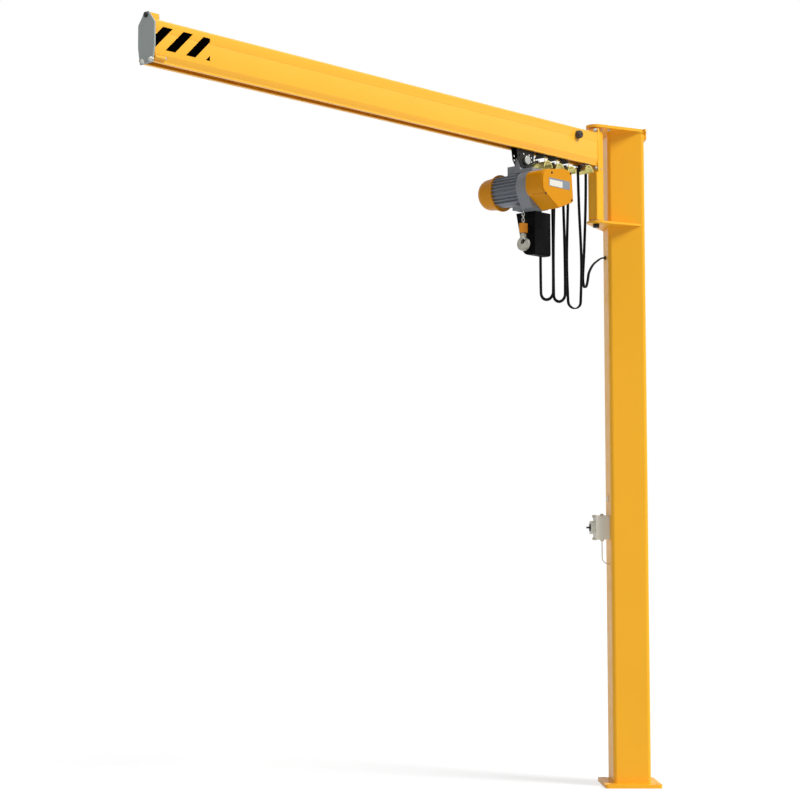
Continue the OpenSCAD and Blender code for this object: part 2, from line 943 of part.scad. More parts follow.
module suspension_lugs() {
    inner = plate_out - trolley_plate_t - 1;
    foot = hoist_z + motor_r + head_h;
    color("#55585C")
        difference() {
            union() {
                along_y(-inner, inner)
                    translate([trolley_x, load_z])
                        polygon(rounded(mirrored(lug_points), [4, 8, 8, 8, 8, 4]));
                for (s = [-1, 1])
                    translate([trolley_x + s * lug_leg_at - lug_leg / 2, -inner, foot])
                        cube([lug_leg, 2 * inner, load_z + lug_points[0].y + 2 - foot]);
            }
            rod_y(trolley_x, load_z, load_pin_r + pin_gap, -half_jib, half_jib);
        }
}

// ---- hoist ----

module hoist_gearbox() {
    color("#6E7378")
        difference() {
            union() {
                rod_y(trolley_x, hoist_z, motor_r, gear_y0, motor_y0);
                along_y(gear_y0, motor_y0)
                    translate([trolley_x, hoist_z])
                        polygon([[-casting_w, casting_z], [guide_x0 - 12, -guide_drop],
                            [guide_x1, -guide_drop], [guide_x1, guide_t - guide_drop],
                            [casting_w, casting_z]]);
                translate([trolley_x + guide_x0, motor_y0 - 1, guide_bottom])
                    cube([guide_x1 - guide_x0, guide_y1 - motor_y0 + 1, guide_t]);
                translate([trolley_x - head_w, gear_y0, hoist_z + core_r + seat_gap])
                    cube([2 * head_w, head_y1 - gear_y0, motor_r + head_h - core_r - seat_gap]);
            }
            translate([trolley_x, 0, guide_bottom - 1])
                cylinder(h = guide_t + 2, r = chain_bore_r);
        }
}

module gear_cover() {
    outline = rounded(cover_points, cover_radii);
    low = cover_points[5] - cover_points[0];
    color("#FFAA20")
        difference() {
            union() {
                along_y(cover_y0 + cover_lip, gear_y0)
                    translate([trolley_x, hoist_z])
                        polygon(outline);
                along_y(cover_y0, cover_y0 + cover_lip + 1)
                    translate([trolley_x, hoist_z])
                        translate((1 - cover_shrink) * [18, -5])
                            scale(cover_shrink)
                                polygon(outline);
            }
            along_y(cover_y0 + cover_lip, gear_y0 - cover_len / 4)
                translate([trolley_x, hoist_z] + cover_seam)
                    rotate(atan2(low.y, low.x))
                        translate([-seam_w / 2, -seam_deep])
                            square([seam_w, 2 * seam_deep]);
        }
}

module motor_housing() {
    step = 360 / fin_count;
    color("#3A3E42") {
        rod_y(trolley_x, hoist_z, core_r, motor_y0, motor_y1);
        for (k = [0:fin_count - 1])
            if (abs(abs((k * step + 180) % 360 - 180) - 90) > fin_free)
                translate([trolley_x, motor_y0, hoist_z])
                    rotate([0, -k * step, 0])
                        translate([core_r - 2, 0, -fin_t / 2])
                            cube([motor_r - core_r + 2, motor_len, fin_t]);
    }
}

module brake_cover() {
    neck_r = motor_r - brake_neck;
    end = [brake_end_r - brake_round, brake_len - brake_round];
    color("#F0A020")
        translate([trolley_x, motor_y1, hoist_z])
            rotate([-90, 0, 0])
                rotate_extrude()
                    polygon(concat([[0, 0], [motor_r + brake_lip, 0],
                        [motor_r + brake_lip, brake_flange], [neck_r, brake_flange + 4]],
                        [for (a = [0:15:90]) end + brake_round * [cos(a), sin(a)]],
                        [[0, brake_len]]));
}

module terminal_box() {
    color("#44484C")
        difference() {
            union() {
                translate([trolley_x - box_w / 2, box_y0, hoist_z + core_r - box_sink])
                    cube([box_w, box_y1 - box_y0, box_h + box_sink]);
                translate([trolley_x + box_w / 2 - 1, gland_y, hoist_z + core_r + gland_z])
                    rotate([0, 90, 0])
                        cylinder(h = gland_len + 1, r = gland_r);
            }
            rod_y(trolley_x, hoist_z, core_r + seat_gap, box_y0 - 1, box_y1 + 1);
            translate([trolley_x + box_w / 2 + gland_len - gland_bore, gland_y,
                hoist_z + core_r + gland_z])
                rotate([0, 90, 0])
                    cylinder(h = gland_bore + 1, r = cable_d / 2 + seat_gap);
        }
}

module bin_outline(shrink) {
    polygon(rounded([[bin_y0 + shrink, guide_bottom - bin_h + shrink],
        [bin_y1 - bin_slant - shrink, guide_bottom - bin_h + shrink],
        [bin_y1 - shrink, guide_bottom - seat_gap + (shrink > 0 ? 20 : 0)],
        [bin_y0 + shrink, guide_bottom - seat_gap + (shrink > 0 ? 20 : 0)]], [12, 44, 0, 0]));
}

module chain_container() {
    color("#141514")
        difference() {
            along_x(bin_x0, bin_x1)
                bin_outline(0);
            along_x(bin_x0 + bin_wall, bin_x1 - bin_wall)
                bin_outline(bin_wall);
        }
}

// One chain link standing upright, centred on the origin.
module link() {
    straight = chain_pitch - 2 * (link_r - chain_d / 2);
    for (s = [-1, 1]) {
        translate([s * link_r, 0, -straight / 2])
            cylinder(h = straight, d = chain_d);
        translate([0, 0, s * straight / 2])
            rotate([90, 0, 0])
                rotate([0, 0, s > 0 ? 0 : 180])
                    rotate_extrude(angle = 180)
                        translate([link_r, 0])
                            circle(d = chain_d);
    }
}

module load_chain() {
    step = chain_pitch - seat_gap;
    color("#A8AAA8")
        for (i = [0:chain_links - 1])
            translate([trolley_x, 0, chain_top - chain_pitch / 2 - chain_d - i * step])
                rotate(i % 2 == 0 ? 45 : -45)
                    link();
}

// ---- hook block ----

module hook_sleeve() {
    color("#E08A18")
        translate([trolley_x, 0, sleeve_bottom])
            difference() {
                linear_extrude(sleeve_h)
                    polygon(rounded_box(sleeve_x, sleeve_y, sleeve_r));
                translate([0, 0, sleeve_h - sleeve_bore_h])
                    cylinder(h = sleeve_bore_h + 1, r = chain_bore_r);
                translate([0, 0, -1])
                    cylinder(h = shank_in + 3, r = shank_r + pin_gap);
            }
}

module load_hook() {
    color("#A6A49A")
        translate([trolley_x, 0, hook_z]) {
            difference() {
                along_x(-hook_t / 2, hook_t / 2)
                    difference() {
                        union() {
                            translate([0, -hook_sag])
                                circle(hook_r);
                            polygon(rounded(hook_neck, [0, 3, 2, 2, 3, 0]));
                        }
                        circle(hook_eye);
                        rotate(throat_turn)
                            translate([0, -throat_w / 2])
                                square([2 * hook_r, throat_w]);
                    }
                along_x(-hook_t, hook_t)
                    translate(latch_at)
                        circle(latch_pin + pin_gap);
            }
            translate([0, 0, 40])
                cylinder(h = sleeve_bottom - hook_z - 40 + shank_in, r = shank_r);
        }
}

module hook_latch() {
    cheek = hook_t / 2 + latch_gap;
    blade = 9;
    color("#8C8E8C")
        translate([trolley_x, 0, hook_z]) {
            for (x = [-cheek - latch_t, cheek])
                along_x(x, x + latch_t)
                    translate(latch_at)
                        rotate(latch_turn) {
                            circle(latch_eye);
                            translate([0, 1 - latch_eye])
                                square([latch_len, latch_w]);
                        }
            along_x(-cheek - latch_t / 2, cheek + latch_t / 2)
                translate(latch_at)
                    rotate(latch_turn)
                        translate([latch_len - blade, -1])
                            square([blade, 2]);
            along_x(-cheek - latch_t, cheek + latch_t)
                translate(latch_at)
                    circle(latch_pin);
        }
}

// ---- cables ----

// Cable swept along a route, each ring turned as little as possible from the last.
// An end marked square faces along the jib and stays back by half a seam.
module tube(route, d, square = [true, true], sides = 8) {
    last = len(route) - 1;
    from = unit([route[1].x - route[0].x, 0, 0]);
    to = unit([route[last].x - route[last - 1].x, 0, 0]);
    along = [for (i = [0:last]) i == 0 && square[0] ? from : i == last && square[1] ? to
        : unit(route[min(i + 1, last)] - route[max(i - 1, 0)])];
    back = [for (i = [0:last]) seat_gap / 2 * (i == 0 && square[0] ? from
        : i == last && square[1] ? -to : [0, 0, 0])];
    side = [for (i = 0, v = unit(cross(along[0], [0.3, 0.9, 0.2])); i <= last;
        i = i + 1, v = i <= last ? unit(v - (v * along[i]) * along[i]) : v) v];
    rings = [for (i = [0:last]) for (k = [0:sides - 1])
        route[i] + back[i] + d / 2 * (cos(360 * k / sides) * side[i]
            + sin(360 * k / sides) * cross(along[i], side[i]))];
    walls = [for (i = [0:last - 1]) for (k = [0:sides - 1])
        let (a = i * sides + k, b = i * sides + (k + 1) % sides)
        each [[a, a + sides, b], [b, a + sides, b + sides]]];
    caps = [[for (k = [0:sides - 1]) k], [for (k = [sides - 1:-1:0]) last * sides + k]];
    color("#1C1C1C")
        polyhedron(rings, concat(walls, caps));
}

module loop_a() {
    tube(route_a, cable_d);
}

module loop_b() {
    tube(route_b, cable_d);
}

module loop_c() {
    tube(route_c, cable_d);
}

module supply_cable() {
    tube(route_supply, cable_d, [true, false]);
}

module hoist_lead() {
    tube(route_lead, cable_d);
}

base_plate();
column_tube();
top_plate();
lower_plate();
top_strap();
upper_pin();
lower_pin();
thrust_washer();
cable_grommet();
switch_box();
switch_plate();
switch_glands();
wall_plug();
switch_wire();
switch_knob();
slew_post();
jib_flange();
jib_profile();
tip_plate();
tip_bosses();
buffer_left();
buffer_right();
end_clamp();
end_saddle();
tow_carrier();
tow_saddle();
carrier_b();
saddle_b();
carrier_c();
saddle_c();
trolley_frame();
trolley_wheels();
load_bar();
suspension_lugs();
hoist_gearbox();
gear_cover();
motor_housing();
brake_cover();
terminal_box();
chain_container();
load_chain();
hook_sleeve();
load_hook();
hook_latch();
loop_a();
loop_b();
loop_c();
supply_cable();
hoist_lead();
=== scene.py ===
"""Looks of a column-mounted jib crane with an electric chain hoist."""

import json
import math

import bmesh
import bpy
from mathutils import Matrix, Vector


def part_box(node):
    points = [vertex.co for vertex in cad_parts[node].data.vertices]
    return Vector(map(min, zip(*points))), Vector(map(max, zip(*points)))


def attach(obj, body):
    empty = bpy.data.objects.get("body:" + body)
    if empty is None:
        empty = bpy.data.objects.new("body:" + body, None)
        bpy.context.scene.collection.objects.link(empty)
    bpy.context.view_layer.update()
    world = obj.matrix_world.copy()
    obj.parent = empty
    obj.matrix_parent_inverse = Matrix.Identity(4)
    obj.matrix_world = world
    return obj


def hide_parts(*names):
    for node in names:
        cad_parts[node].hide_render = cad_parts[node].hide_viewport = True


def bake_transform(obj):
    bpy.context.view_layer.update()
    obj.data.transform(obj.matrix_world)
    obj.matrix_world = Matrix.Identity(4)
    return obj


bl_info = {
    "name": "Jib crane dressing",
    "version": (1, 0, 0),
    "blender": (4, 5, 0),
    "location": "View3D > Sidebar > Crane",
    "description": "Cables, chain, trim and finishes of a column-mounted jib crane",
    "category": "Object",
}

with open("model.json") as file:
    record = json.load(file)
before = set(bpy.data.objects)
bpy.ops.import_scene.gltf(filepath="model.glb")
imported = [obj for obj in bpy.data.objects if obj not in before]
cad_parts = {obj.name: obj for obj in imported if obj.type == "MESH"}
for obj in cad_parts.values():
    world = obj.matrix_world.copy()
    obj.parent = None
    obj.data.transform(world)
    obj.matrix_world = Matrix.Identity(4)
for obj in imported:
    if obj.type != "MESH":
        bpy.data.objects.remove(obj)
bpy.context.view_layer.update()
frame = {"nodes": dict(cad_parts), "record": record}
BODY_OF = {
    node: body
    for body, nodes in frame["record"]["behaviour"]["bodies"].items()
    for node in nodes
}


def srgb(code):
    """Linear colour of a hex code such as F2B02A."""
    channels = [int(code[i : i + 2], 16) / 255 for i in (0, 2, 4)]
    return tuple(c / 12.92 if c <= 0.04045 else ((c + 0.055) / 1.055) ** 2.4 for c in channels)


# ---- what a user may change ----


def colour_prop(name, code, description):
    """A colour property with its default given as a hex code."""
    return bpy.props.FloatVectorProperty(
        name=name,
        description=description,
        subtype="COLOR",
        size=3,
        min=0,
        max=1,
        default=srgb(code),
    )


def length_prop(name, default, description):
    """A length property in metres."""
    return bpy.props.FloatProperty(
        name=name,
        description=description,
        subtype="DISTANCE",
        unit="LENGTH",
        min=0,
        default=default,
    )


class CranePaint(bpy.types.PropertyGroup):
    """Colours of the crane's finishes."""

    steelwork: colour_prop("Steelwork", "F8B427", "Powder coat on the column and jib")
    hoist: colour_prop("Hoist covers", "D58D08", "Paint on the hoist's covers")
    sleeve: colour_prop("Hook sleeve", "F0981A", "Paint on the hook's sleeve")
    end_plate: colour_prop("End plate", "9EA5A3", "Paint on the jib's end plate")
    stripes: colour_prop("Stripes", "020202", "Warning stripes at the jib's tip")
    gearbox: colour_prop("Gearbox", "82868C", "Paint on the gearbox casting")
    motor: colour_prop("Motor", "838991", "Paint on the finned motor")
    dark_steel: colour_prop("Dark steel", "171815", "Black finish on trolley and carriers")
    carrier: colour_prop("Carriers", "484A46", "Grey finish on the cable carriers")
    saddle: colour_prop("Saddles", "D8CE84", "Passivated steel of the cable saddles")
    zinc: colour_prop("Zinc", "B9B9B4", "Zinc-plated small parts")
    hook: colour_prop("Hook", "9C9A90", "Forged load hook")
    bin: colour_prop("Chain container", "060607", "Moulded chain container")
    cable: colour_prop("Cable", "0D0D0E", "Cable sheath")
    buffer: colour_prop("Buffers", "4C463F", "Rubber of the swing buffers")
    switch: colour_prop("Switch", "DEDBCE", "Moulded isolator switch")
    wire: colour_prop("Wire", "CFC8B0", "Short wire under the switch")


class CraneSizes(bpy.types.PropertyGroup):
    """Sizes of the crane's trim."""

    cable_d: length_prop("Cable size", 0.010, "Diameter of a round cable of the same area")
    cable_w: length_prop("Cable width", 0.0155, "Width of the flat festoon cable")
    cable_t: length_prop("Cable thickness", 0.007, "Thickness of the flat festoon cable")
    weld_r: length_prop("Weld radius", 0.004, "Radius of the weld beads")
    decal_t: length_prop("Stripe thickness", 0.0004, "Thickness of the warning stripes' film")
    link_wire: length_prop("Chain wire", 0.005, "Wire diameter of the load chain")
    link_pitch: length_prop("Chain pitch", 0.0147, "Distance between neighbouring links")
    hook_drop: length_prop("Hook travel", 2.6, "How far the hook is lowered at most")


def paint():
    """The scene's colours."""
    return bpy.context.scene.crane_paint


def sizes():
    """The scene's trim sizes."""
    return bpy.context.scene.crane_sizes


# ---- shader groups and materials ----


def new_group(name, colour, numbers):
    """An empty shader group that puts out a surface, and its two end nodes."""
    group = bpy.data.node_groups.new(name, "ShaderNodeTree")
    sockets = group.interface
    made = sockets.new_socket("Colour", in_out="INPUT", socket_type="NodeSocketColor")
    made.default_value = colour
    for socket, default in numbers.items():
        made = sockets.new_socket(socket, in_out="INPUT", socket_type="NodeSocketFloat")
        made.default_value = default
    sockets.new_socket("Colour", in_out="OUTPUT", socket_type="NodeSocketColor")
    for socket in ("Roughness", "Height"):
        sockets.new_socket(socket, in_out="OUTPUT", socket_type="NodeSocketFloat")
    start = group.nodes.new("NodeGroupInput")
    end = group.nodes.new("NodeGroupOutput")
    return group, start, end


def add_node(tree, kind, links=(), **values):
    """A node with its settings, and links given as (input, source socket)."""
    node = tree.nodes.new(kind)
    for key, value in values.items():
        if key.startswith("in_"):
            node.inputs[int(key[3:])].default_value = value
        else:
            setattr(node, key, value)
    for socket, source in links:
        tree.links.new(source, node.inputs[socket])
    return node


def object_place(tree, scale=(1, 1, 1)):
    """Object coordinates, stretched by scale."""
    place = add_node(tree, "ShaderNodeTexCoord").outputs["Object"]
    return add_node(tree, "ShaderNodeMapping", [(0, place)], in_3=scale).outputs[0]


def combine(tree, operation, first, second):
    """A Math node on two sockets, or on a socket and a number."""
    node = add_node(tree, "ShaderNodeMath", [(0, first)], operation=operation)
    if isinstance(second, float):
        node.inputs[1].default_value = second
    else:
        tree.links.new(second, node.inputs[1])
    return node.outputs[0]


def remap(tree, source, from_low, from_high, to_low, to_high):
    """A value stretched from one range to another."""
    return add_node(
        tree,
        "ShaderNodeMapRange",
        [(0, source)],
        in_1=from_low,
        in_2=from_high,
        in_3=to_low,
        in_4=to_high,
    ).outputs[0]


def noise(tree, place, scale, detail, roughness):
    """A noise pattern; its scale is a number or a socket."""
    node = add_node(tree, "ShaderNodeTexNoise", [(0, place)], in_3=detail, in_4=roughness)
    if isinstance(scale, float):
        node.inputs[2].default_value = scale
    else:
        tree.links.new(scale, node.inputs[2])
    return node.outputs[0]


def toned(tree, colour, pattern, amount):
    """A colour made lighter and darker by a pattern, as strongly as amount says."""
    swing = combine(tree, "MULTIPLY", remap(tree, pattern, 0.3, 0.7, -0.5, 0.5), amount)
    value = combine(tree, "ADD", swing, 1.0)
    return add_node(
        tree, "ShaderNodeHueSaturation", [("Value", value), ("Color", colour)]
    ).outputs[0]


def put_out(tree, end, colour, roughness, height):
    """Joins a group's three results to its output."""
    for socket, source in (("Colour", colour), ("Roughness", roughness), ("Height", height)):
        tree.links.new(source, end.inputs[socket])
    return tree


def coat_group():
    """Sprayed coat: faint clouding of the colour, orange peel and smudged gloss."""
    tree, start, end = new_group(
        "Sprayed coat",
        (0.8, 0.8, 0.8, 1),
        {"Clouding": 0.05, "Peel size": 260.0, "Roughness": 0.35},
    )
    place = object_place(tree)
    cloud = noise(tree, place, 2.6, 4.0, 0.55)
    colour = toned(tree, start.outputs["Colour"], cloud, start.outputs["Clouding"])
    smudge = remap(tree, noise(tree, place, 11.0, 5.0, 0.6), 0.35, 0.7, -0.05, 0.07)
    rough = combine(tree, "ADD", start.outputs["Roughness"], smudge)
    peel = noise(tree, place, start.outputs["Peel size"], 2.0, 0.5)
    return put_out(tree, end, colour, rough, peel)


def metal_group():
    """Bare or plated metal: fine scratches along one direction and soft blotches."""
    tree, start, end = new_group(
        "Plated metal", (0.6, 0.6, 0.6, 1), {"Blotches": 0.2, "Roughness": 0.35}
    )
    blotch = noise(tree, object_place(tree), 60.0, 4.0, 0.6)
    colour = toned(tree, start.outputs["Colour"], blotch, start.outputs["Blotches"])
    scratch = noise(tree, object_place(tree, (900, 120, 60)), 1.0, 3.0, 0.6)
    uneven = remap(tree, scratch, 0.3, 0.7, -0.08, 0.12)
    rough = combine(tree, "ADD", start.outputs["Roughness"], uneven)
    return put_out(tree, end, colour, rough, scratch)


def moulded_group():
    """Moulded plastic or rubber: fine leathery grain with a trace of pale dust."""
    tree, start, end = new_group(
        "Moulded grain",
        (0.1, 0.1, 0.1, 1),
        {"Dust": 0.04, "Grain size": 900.0, "Roughness": 0.5},
    )
    place = object_place(tree)
    dust = remap(tree, noise(tree, place, 24.0, 6.0, 0.65), 0.45, 0.8, 0.0, 1.0)
    mask = combine(tree, "MULTIPLY", dust, start.outputs["Dust"])
    colour = add_node(
        tree,
        "ShaderNodeMix",
        [("Factor", mask), (6, start.outputs["Colour"])],
        data_type="RGBA",
        in_7=(0.5, 0.48, 0.44, 1),
    ).outputs[2]
    rough = combine(tree, "ADD", mask, start.outputs["Roughness"])
    grain = add_node(
        tree, "ShaderNodeTexVoronoi", [(0, place), (2, start.outputs["Grain size"])], feature="F1"
    ).outputs[0]
    return put_out(tree, end, colour, rough, grain)


def make_material(name, group, values, bump, bump_depth, **shader):
    """A material whose group feeds the colour, roughness and bump of one shader."""
    material = bpy.data.materials.new(name)
    material.use_nodes = True
    tree = material.node_tree
    principled = tree.nodes["Principled BSDF"]
    effect = add_node(tree, "ShaderNodeGroup", node_tree=group)
    for key, value in values.items():
        effect.inputs[key].default_value = value
    lift = add_node(tree, "ShaderNodeBump", [("Height", effect.outputs["Height"])])
    lift.inputs["Strength"].default_value = bump
    lift.inputs["Distance"].default_value = bump_depth
    tree.links.new(lift.outputs[0], principled.inputs["Normal"])
    tree.links.new(effect.outputs["Colour"], principled.inputs["Base Color"])
    tree.links.new(effect.outputs["Roughness"], principled.inputs["Roughness"])
    for key, value in shader.items():
        principled.inputs[key.replace("_", " ")].default_value = value
    return material


def rgba(colour):
    """A colour property with an alpha of one."""
    return (*colour, 1)


def build_materials():
    """Every finish, by name."""
    coat = coat_group()
    metal = metal_group()
    moulded = moulded_group()
    tints = paint()

    def coated(name, colour, rough, peel=0.06, cloud=0.04, shine=0.25, **shader):
        values = {"Colour": rgba(colour), "Clouding": cloud, "Roughness": rough}
        shader["Specular_IOR_Level"] = shine
        return make_material(name, coat, values, peel, 0.0006, **shader)

    def plated(name, colour, rough, blotches=0.25, **shader):
        values = {"Colour": rgba(colour), "Blotches": blotches, "Roughness": rough}
        return make_material(name, metal, values, 0.08, 0.0003, Metallic=1.0, **shader)

    def mould(name, colour, rough, dust=0.05, grain=900.0, shine=0.25, **shader):
        values = {"Colour": rgba(colour), "Dust": dust, "Grain size": grain, "Roughness": rough}
        shader["Specular_IOR_Level"] = shine
        return make_material(name, moulded, values, 0.12, 0.0004, **shader)

    return {
        "steelwork": coated("steelwork_coat", tints.steelwork, 0.38),
        "track": coated("track_coat", tints.steelwork, 0.36, shine=0.55),
        "hoist": coated("hoist_paint", tints.hoist, 0.34, 0.03, shine=0.14),
        "sleeve": coated("sleeve_paint", tints.sleeve, 0.35, 0.05),
        "end_plate": coated("end_plate_paint", tints.end_plate, 0.5, 0.08),
        "stripes": coated("stripe_film", tints.stripes, 0.6, 0.02, 0.01, shine=0.0),
        "gearbox": coated("gearbox_paint", tints.gearbox, 0.42, 0.2, 0.1),
        "motor": coated("motor_paint", tints.motor, 0.45, 0.25, 0.1),
        "dark_steel": coated("dark_steel", tints.dark_steel, 0.45, 0.12, 0.15),
        "carrier": coated("carrier_steel", tints.carrier, 0.5, 0.1),
        "saddle": plated("saddle_steel", tints.saddle, 0.38, 0.4),
        "zinc": plated("zinc_steel", tints.zinc, 0.34),
        "hook": plated("forged_hook", tints.hook, 0.45, 0.5),
        "bin": mould("container_plastic", tints.bin, 0.5, 0.01, shine=0.04),
        "cable": mould("cable_sheath", tints.cable, 0.6, 0.02, 300.0, 0.08),
        "rubber": mould("grommet_rubber", tints.cable, 0.62, 0.12, 700.0),
        "buffer": mould("buffer_rubber", tints.buffer, 0.6, 0.12, 700.0, 0.15),
        "switch": mould("switch_plastic", tints.switch, 0.42, 0.03),
        "knob": mould("knob_plastic", tints.bin, 0.35, 0.03),
        "wire": mould("wire_sheath", tints.wire, 0.4, 0.03),
    }


MATERIALS = {}

# ---- mesh helpers ----

# Degrees between two faces: under the first they are one flat face, over the second they
# meet in an edge that gets softened.
FLAT_ANGLE = 0.6
SHARP_ANGLE = 20


def add_piece(name, mesh_or_bm, finish, body, smooth=None):
    """A new object with its finish and body; smooth is its sharpest smooth angle."""
    if isinstance(mesh_or_bm, bmesh.types.BMesh):
        mesh = bpy.data.meshes.new(name)
        mesh_or_bm.to_mesh(mesh)
        mesh_or_bm.free()
    else:
        mesh = mesh_or_bm
    mesh.materials.clear()
    mesh.materials.append(MATERIALS[finish])
    piece = bpy.data.objects.new(name, mesh)
    bpy.context.scene.collection.objects.link(piece)
    if smooth is not None:
        mesh.shade_smooth()
        mesh.set_sharp_from_angle(angle=math.radians(smooth))
    if body:
        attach(piece, body)
    return piece


def soften(piece, width):
    """A live bevel on a piece's sharp edges."""
    bevel = piece.modifiers.new("soft edges", "BEVEL")
    bevel.width = width
    bevel.segments = 2
    bevel.limit_method = "ANGLE"
    bevel.angle_limit = math.radians(SHARP_ANGLE)
    bevel.harden_normals = True


def skin(node, finish, width):
    """A copy of a CAD node with its flat faces joined and its edges softened."""
    bm = bmesh.new()
    bm.from_mesh(frame["nodes"][node].data)
    bmesh.ops.remove_doubles(bm, verts=bm.verts, dist=2e-6)
    bmesh.ops.dissolve_limit(
        bm, angle_limit=math.radians(FLAT_ANGLE), verts=bm.verts, edges=bm.edges, delimit=set()
    )
    piece = add_piece(node + "_finish", bm, finish, BODY_OF[node], SHARP_ANGLE)
    soften(piece, width)
    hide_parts(node)


def merged(bms):
    """One bmesh out of several."""
    whole = bmesh.new()
    for bm in bms:
        mesh = bpy.data.meshes.new("part")
        bm.to_mesh(mesh)
        bm.free()
        whole.from_mesh(mesh)
        bpy.data.meshes.remove(mesh)
    return whole


def turn_to(direction):
    """Rotation that takes +Z to a direction."""
    return Vector((0, 0, 1)).rotation_difference(Vector(direction)).to_matrix().to_4x4()


def disc(centre, direction, radius, height, sides=32, bevel=0.0):
    """A short cylinder from centre along direction, with its far rim rounded."""
    bm = bmesh.new()
    bmesh.ops.create_cone(
        bm, cap_ends=True, segments=sides, radius1=radius, radius2=radius, depth=height
    )
    bmesh.ops.translate(bm, verts=bm.verts, vec=(0, 0, height / 2))
    if bevel:
        rim = [e for e in bm.edges if all(v.co.z > height * 0.9 for v in e.verts)]
        bmesh.ops.bevel(
            bm,
            geom=rim,
            offset=bevel,
            offset_type="OFFSET",
            segments=2,
            profile=0.5,
            affect="EDGES",
            material=-1,
        )
    bmesh.ops.transform(bm, matrix=Matrix.Translation(centre) @ turn_to(direction), verts=bm.verts)
    return bm


def hex_bolt(centre, direction, flats, washer=True):
    """A hexagon head, with or without a washer, standing on a surface."""
    direction = Vector(direction).normalized()
    washer_t = flats * 0.1
    parts = []
    base = Vector(centre)
    if washer:
        parts.append(disc(base, direction, flats * 0.62, washer_t, 28, flats * 0.02))
        base = base + direction * washer_t
    parts.append(disc(base, direction, flats / math.sqrt(3), flats * 0.55, 6, flats * 0.07))
    parts.append(disc(base, direction, flats * 0.44, flats * 0.6, 24, flats * 0.05))
    return merged(parts)


def round_head(centre, direction, radius, height=0.003, sides=20):
    """A small round screw head with a rounded rim."""
    return disc(centre, direction, radius, height, sides, 0.001)


def prism(points, axis, low, high):
    """An outline in the two other axes, extruded along axis from low to high."""
    bm = bmesh.new()
    order = {"x": (2, 0, 1), "y": (0, 2, 1), "z": (0, 1, 2)}[axis]
    corners = [(u, v, low) for u, v in points]
    verts = [bm.verts.new([corner[k] for k in order]) for corner in corners]
    grown = bmesh.ops.extrude_face_region(bm, geom=[bm.faces.new(verts)])
    verts = [g for g in grown["geom"] if isinstance(g, bmesh.types.BMVert)]
    shift = [(0, 0, high - low)[k] for k in order]
    bmesh.ops.translate(bm, verts=verts, vec=shift)
    bmesh.ops.recalc_face_normals(bm, faces=bm.faces)
    return bm


def oblong(x, z, width, height):
    """The corners of an upright rectangle."""
    return [(x, z), (x + width, z), (x + width, z + height), (x, z + height)]


def swept(name, points, radius, sides=12, cyclic=False):
    """A round tube along points, as a mesh."""
    curve = bpy.data.curves.new(name, "CURVE")
    curve.dimensions = "3D"
    curve.bevel_depth = radius
    curve.bevel_resolution = sides // 4 - 1
    curve.use_fill_caps = not cyclic
    spline = curve.splines.new("POLY")
    spline.points.add(len(points) - 1)
    for spot, point in zip(spline.points, points):
        spot.co = (*point, 1)
    spline.use_cyclic_u = cyclic
    holder = bpy.data.objects.new(name, curve)
    bpy.context.scene.collection.objects.link(holder)
    bpy.context.view_layer.update()
    mesh = bpy.data.meshes.new_from_object(holder)
    bpy.data.objects.remove(holder)
    bpy.data.curves.remove(curve)
    return mesh


def swept_flat(path, round_end):
    """A flat cable along a path, as a bmesh, with its width across the jib.

    Its ends are square to the jib, but a round end narrows to fit a gland.
    """
    trim = sizes()
    last = len(path) - 1
    bm = bmesh.new()
    rings = []
    for i, spot in enumerate(path):
        ahead = (path[min(i + 1, last)] - path[max(i - 1, 0)]).normalized()
        if i == 0 or (i == last and not round_end):
            ahead = Vector((math.copysign(1, ahead.x), 0, 0))
        across = Vector((0, 1, 0))
        across = (across - ahead * across.dot(ahead)).normalized()
        upward = ahead.cross(across)
        flat = min((spot - path[-1]).length / ROUND_END, 1) if round_end else 1
        plain = trim.cable_d / 2 - GLAND_GAP
        half_w = plain + (trim.cable_w / 2 - plain) * flat
        half_t = plain + (trim.cable_t / 2 - plain) * flat
        power = 1 - 0.5 * flat
        ring = []
        for k in range(RING):
            c, s = math.cos(math.tau * k / RING), math.sin(math.tau * k / RING)
            u = math.copysign(abs(c) ** power, c) * half_w
            v = math.copysign(abs(s) ** power, s) * half_t
            ring.append(bm.verts.new(spot + across * u + upward * v))
        rings.append(ring)
    for one, two in zip(rings, rings[1:]):
        for k in range(RING):
            after = (k + 1) % RING
            bm.faces.new((one[k], one[after], two[after], two[k]))
    bm.faces.new(rings[0][::-1])
    bm.faces.new(rings[-1])
    bmesh.ops.recalc_face_normals(bm, faces=bm.faces)
    return bm


def smooth_path(points, steps):
    """Points along the smooth curve that passes through a route."""
    ends = [2 * points[0] - points[1], *points, 2 * points[-1] - points[-2]]
    path = []
    for a, b, c, d in zip(ends, ends[1:], ends[2:], ends[3:]):
        span = (c - b).length
        start = (c - a) * span / (span + (b - a).length)
        finish = (d - b) * span / ((d - c).length + span)
        for k in range(steps):
            t = k / steps
            path.append(
                b * (2 * t**3 - 3 * t**2 + 1)
                + start * (t**3 - 2 * t**2 + t)
                + c * (3 * t**2 - 2 * t**3)
                + finish * (t**3 - t**2)
            )
    path.append(points[-1].copy())
    return path


# ---- cables ----

# Points round a cable's section, and path points from one point of a route to the next.
RING = 16
PATH_STEPS = 20
# Length over which a flat cable turns round before a gland, and its clearance there.
ROUND_END = 0.05
GLAND_GAP = 0.0002

